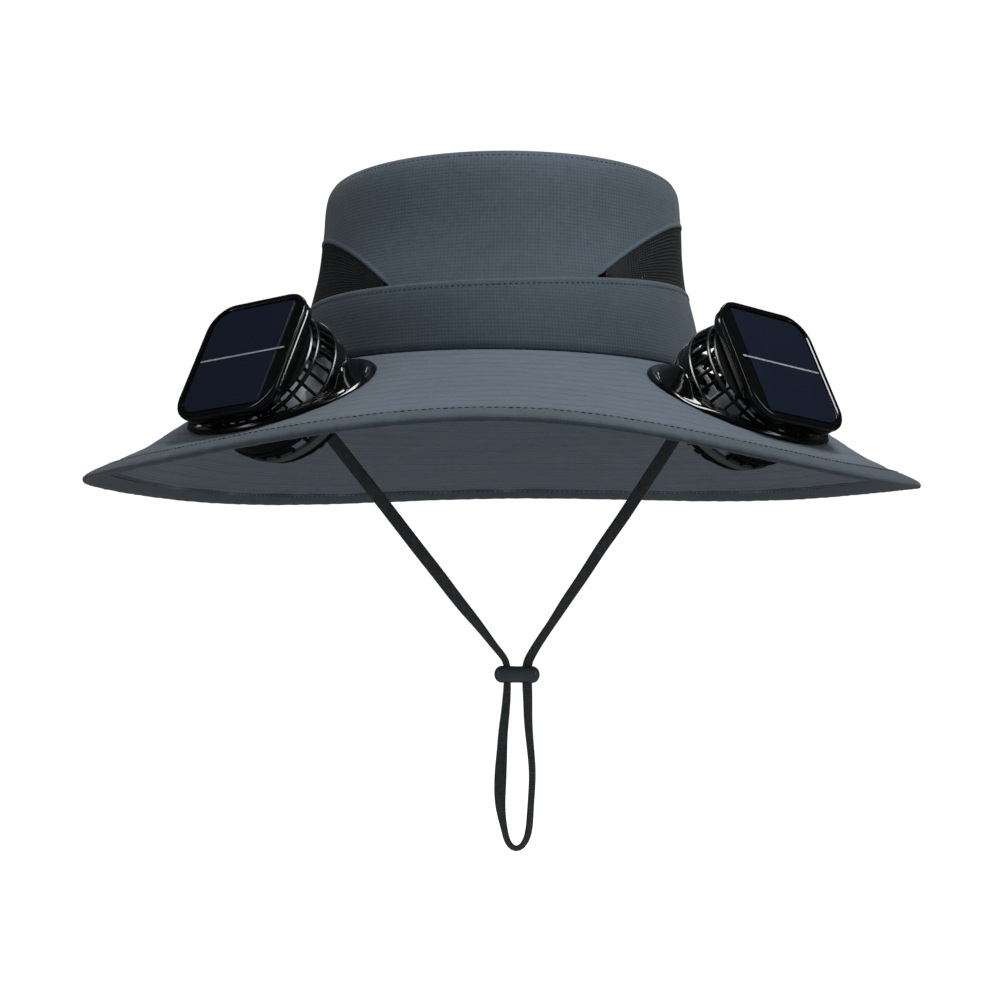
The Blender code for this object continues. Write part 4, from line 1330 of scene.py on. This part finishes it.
panel = {
    "size": (0.0555, 0.0605), "move": 0.0025, "corner": 0.0125, "leastCorner": 0.004,
    "cell": (0.0500, 0.0545), "cellCorner": 0.0085, "shift": 0.0020,
    "pocket": 0.0010,
    # metres in from the side wall, height under the panel's face
    "profile": (
        (0.0085, -0.0082), (0.0034, -0.0081), (0.0018, -0.0074), (0.0009, -0.0060),
        (0.0006, -0.0034), (0.0010, -0.0030), (0.0010, -0.0026), (0.0001, -0.0022),
        (0.0, -0.0014), (0.0001, -0.0006), (0.0004, -0.0002), (0.0010, 0.0), (0.0024, -0.0001),
    ),
    # metres more than the cell, height under the panel's face
    "pocketEdge": ((0.0016, -0.0001), (0.0006, -0.0004), (0.0004, -0.0010)),
    # the black margin at the inner side, the gap all round, the bevel, and three heights
    "margin": 0.0058, "gap": 0.0008, "bevel": 0.002, "wafer": (-0.0001, 0.00045, 0.0005),
    "busbar": (0.0008, 0.0002), "busbarEnds": (0.0012, 0.0016), "busbarAt": (0.0006, 0.00052),
}
wafer = {
    "dark": (0.0024, 0.0038, 0.0092, 1.0), "light": (0.0054, 0.0078, 0.0172, 1.0),
    "finger": (0.0170, 0.0220, 0.0430, 1.0), "fingerPitch": 0.00125, "fingerShare": 0.4,
    "barDark": (0.14, 0.15, 0.155, 1.0), "barLight": (0.44, 0.46, 0.47, 1.0),
}


# points of a rounded rectangle, the same number whatever its size
def roundedOutline(width, height, corner, arc=10):
    points = []
    for cx, cy, start in ((1, 1, 0), (-1, 1, 90), (-1, -1, 180), (1, -1, 270)):
        for i in range(arc + 1):
            a = math.radians(start + 90.0 * i / arc)
            points.append((
                cx * (0.5 * width - corner) + corner * math.cos(a),
                cy * (0.5 * height - corner) + corner * math.sin(a),
            ))
    return points


# dark blue wafer with fine fingers up its height and a faint grain between them
def makeCellMaterial(name):
    material, tree, shader = startMaterial(name, {
        "Roughness": 0.30, "Specular IOR Level": 0.15,
        "Coat Weight": 0.04, "Coat Roughness": 0.05,
    })
    place = ownPlace(tree)
    across = addNode(tree, "ShaderNodeSeparateXYZ", {0: place}).outputs[0]
    drawn = addNode(tree, "ShaderNodeMapping", {0: place, 3: (1.0, 0.08, 1.0)}).outputs[0]
    grain = sums(tree, "MULTIPLY", patches(tree, drawn, 900.0), 0.6)
    tone = sums(tree, "MULTIPLY_ADD", patches(tree, place, 60.0), 0.4, grain)
    finger = spread(tree, repeats(tree, across, wafer["fingerPitch"]), 0.34, 0.46)
    share = sums(tree, "MULTIPLY", finger, wafer["fingerShare"])
    colour = blendColours(tree, tone, wafer["dark"], wafer["light"])
    colour = blendColours(tree, share, colour, wafer["finger"])
    finishMaterial(tree, shader, colour, finger, 0.08, 0.0001)
    return material


def makeBusbarMaterial():
    material, tree, shader = startMaterial("busbarSilver", {
        "Metallic": 0.6, "Specular IOR Level": 0.4,
    })
    worn = patches(tree, ownPlace(tree), 700.0)
    colour = blendColours(tree, worn, wafer["barDark"], wafer["barLight"])
    tree.links.new(colour, shader.inputs["Base Color"])
    rough = spread(tree, worn, 0.0, 1.0, 0.45, 0.75)
    tree.links.new(rough, shader.inputs["Roughness"])
    return material


def buildHousing(name, side, place):
    outlines = []
    for inset, drop in panel["profile"]:
        across, tall = (size - 2.0 * inset for size in panel["size"])
        corner = max(panel["leastCorner"], panel["corner"] - inset)
        outlines.append([
            (x + side * panel["move"], y, fan["face"] + drop)
            for x, y in roundedOutline(across, tall, corner)
        ])
    for extra, drop in panel["pocketEdge"]:
        across, tall = (size + extra for size in panel["cell"])
        outlines.append([
            (x + side * panel["shift"], y, fan["face"] + drop)
            for x, y in roundedOutline(across, tall, panel["cellCorner"] + 0.5 * extra)
        ])
    shape = bmesh.new()
    capEnds(shape, loft(shape, outlines))
    addPiece(
        "solarHousing_" + name, meshFrom("solarHousing", shape, 32.0), plastics["gloss"],
        "fan_" + name, ["solar_housing_" + name], place,
    )


# the wafer: rounded at its outer corners, cut straight along a black margin at the inner side
def buildCell(name, side, place):
    shift, gap = side * panel["shift"], panel["gap"]
    width, height = panel["cell"]
    floor = fan["face"] - panel["pocket"]
    limit = 0.5 * width - panel["margin"]
    outline = []
    for x, y in roundedOutline(
        width - 2.0 * gap, height - 2.0 * gap, panel["cellCorner"] - gap, 14,
    ):
        outline.append((-side * min(-side * x, limit) + shift, y))
    foot, edge, top = panel["wafer"]
    small = 1.0 - panel["bevel"]
    plate = bmesh.new()
    loft(plate, [
        [(x, y, floor + foot) for x, y in outline],
        [(x, y, floor + edge) for x, y in outline],
        [(shift + (x - shift) * small, y * small, floor + top) for x, y in outline],
    ])
    bmesh.ops.holes_fill(plate, edges=plate.edges)
    bmesh.ops.remove_doubles(plate, verts=plate.verts, dist=0.00001)
    addPiece(
        "solarCell_" + name, meshFrom("solarCell", plate, 30.0),
        makeCellMaterial("wafer_" + name), "fan_" + name, ["solar_cell_" + name],
        place,
    )
    outerGap, innerGap = panel["busbarEnds"]
    start, end = side * (0.5 * width - outerGap), -side * (0.5 * width - innerGap)
    up, lift = panel["busbarAt"]
    points = [
        Vector((shift + start + (end - start) * i / 24, up, floor + lift)) for i in range(25)
    ]
    bar = bmesh.new()
    straightBar(bar, points, Vector((0, 1, 0)), Vector((0, 0, 1)), *panel["busbar"])
    addPiece(
        "busbar_" + name, meshFrom("busbar", bar), makeBusbarMaterial(), "fan_" + name,
        (), place,
    )


for fanName, fanSide in (("left", -1.0), ("right", 1.0)):
    buildBase(fanName, fanSide)
    buildCage(fanName, fanSide)
    buildRotor(fanName, fanSide)
    buildHousing(fanName, fanSide, ballMatrix(fanSide))
    buildCell(fanName, fanSide, ballMatrix(fanSide))
print("stage: fans and panels")


studio = {
    "floorHeight": -0.262, "floorHalf": 3.0, "floorTone": (0.42, 0.42, 0.42, 1.0),
    # light seen straight, from above, from below, and in what shiny plastic mirrors
    "seen": 1.05, "above": 0.36, "below": 0.76, "mirrored": 0.025,
    # name, place, looks at, size, power
    "lights": (
        ("key", (0.16, -0.36, 0.66), (0, -0.05, 0), (0.36, 0.36), 8.0),
        ("rear", (0.0, 0.9, 1.1), (0, 0, 0), (1.4, 0.6), 5.0),
        ("leftStrip", (-0.95, -0.35, 0.35), (-0.1, -0.05, 0), (0.10, 0.9), 1.4),
        ("rightStrip", (0.95, -0.35, 0.35), (0.1, -0.05, 0), (0.10, 0.9), 1.4),
    ),
}


def addStage():
    half = studio["floorHalf"]
    mesh = bpy.data.meshes.new("floor")
    corners = [(-half, -half, 0), (half, -half, 0), (half, half, 0), (-half, half, 0)]
    mesh.from_pydata(corners, [], [(0, 1, 2, 3)])
    plane = bpy.data.objects.new("floor", mesh)
    bpy.context.scene.collection.objects.link(plane)
    plane.location = (0, 0, studio["floorHeight"])
    mesh.materials.append(startMaterial("paleFloor", {
        "Base Color": studio["floorTone"], "Roughness": 0.9, "Specular IOR Level": 0.0,
        "Emission Color": (1.0, 1.0, 1.0, 1.0), "Emission Strength": 1.0,
    })[0])
    # the lit floor is only a backdrop: gloss and cloth take their light from the studio
    plane.visible_glossy = False
    plane.visible_diffuse = False


# white to the eye, softer in what shiny plastic mirrors
def addWorld():
    world = bpy.data.worlds.new("studio")
    bpy.context.scene.world = world
    world.use_nodes = True
    tree = world.node_tree
    tree.nodes.clear()
    rays = addNode(tree, "ShaderNodeLightPath").outputs
    way = addNode(tree, "ShaderNodeTexCoord").outputs["Generated"]
    height = addNode(tree, "ShaderNodeSeparateXYZ", {0: way}).outputs[2]
    level = spread(tree, height, -0.3, 0.3, studio["below"], studio["above"])
    for ray, key in (("Is Glossy Ray", "mirrored"), ("Is Camera Ray", "seen")):
        mix = addNode(tree, "ShaderNodeMix", {0: rays[ray], 2: level, 3: studio[key]})
        level = mix.outputs[0]
    light = addNode(tree, "ShaderNodeBackground", {"Color": (1, 1, 1, 1), "Strength": level})
    out = addNode(tree, "ShaderNodeOutputWorld")
    tree.links.new(light.outputs[0], out.inputs[0])
    world.cycles.sampling_method = "NONE"


def addLight(name, place, target, size, power):
    data = bpy.data.lights.new(name, "AREA")
    data.shape = "RECTANGLE"
    data.size, data.size_y = size
    data.energy = power
    light = bpy.data.objects.new(name, data)
    bpy.context.scene.collection.objects.link(light)
    light.location = place
    towards = Vector(target) - Vector(place)
    light.rotation_euler = towards.to_track_quat("-Z", "Y").to_euler()


addStage()
addWorld()
for row in studio["lights"]:
    addLight(*row)
bpy.context.scene.view_settings.view_transform = "Standard"
print("stage: light")
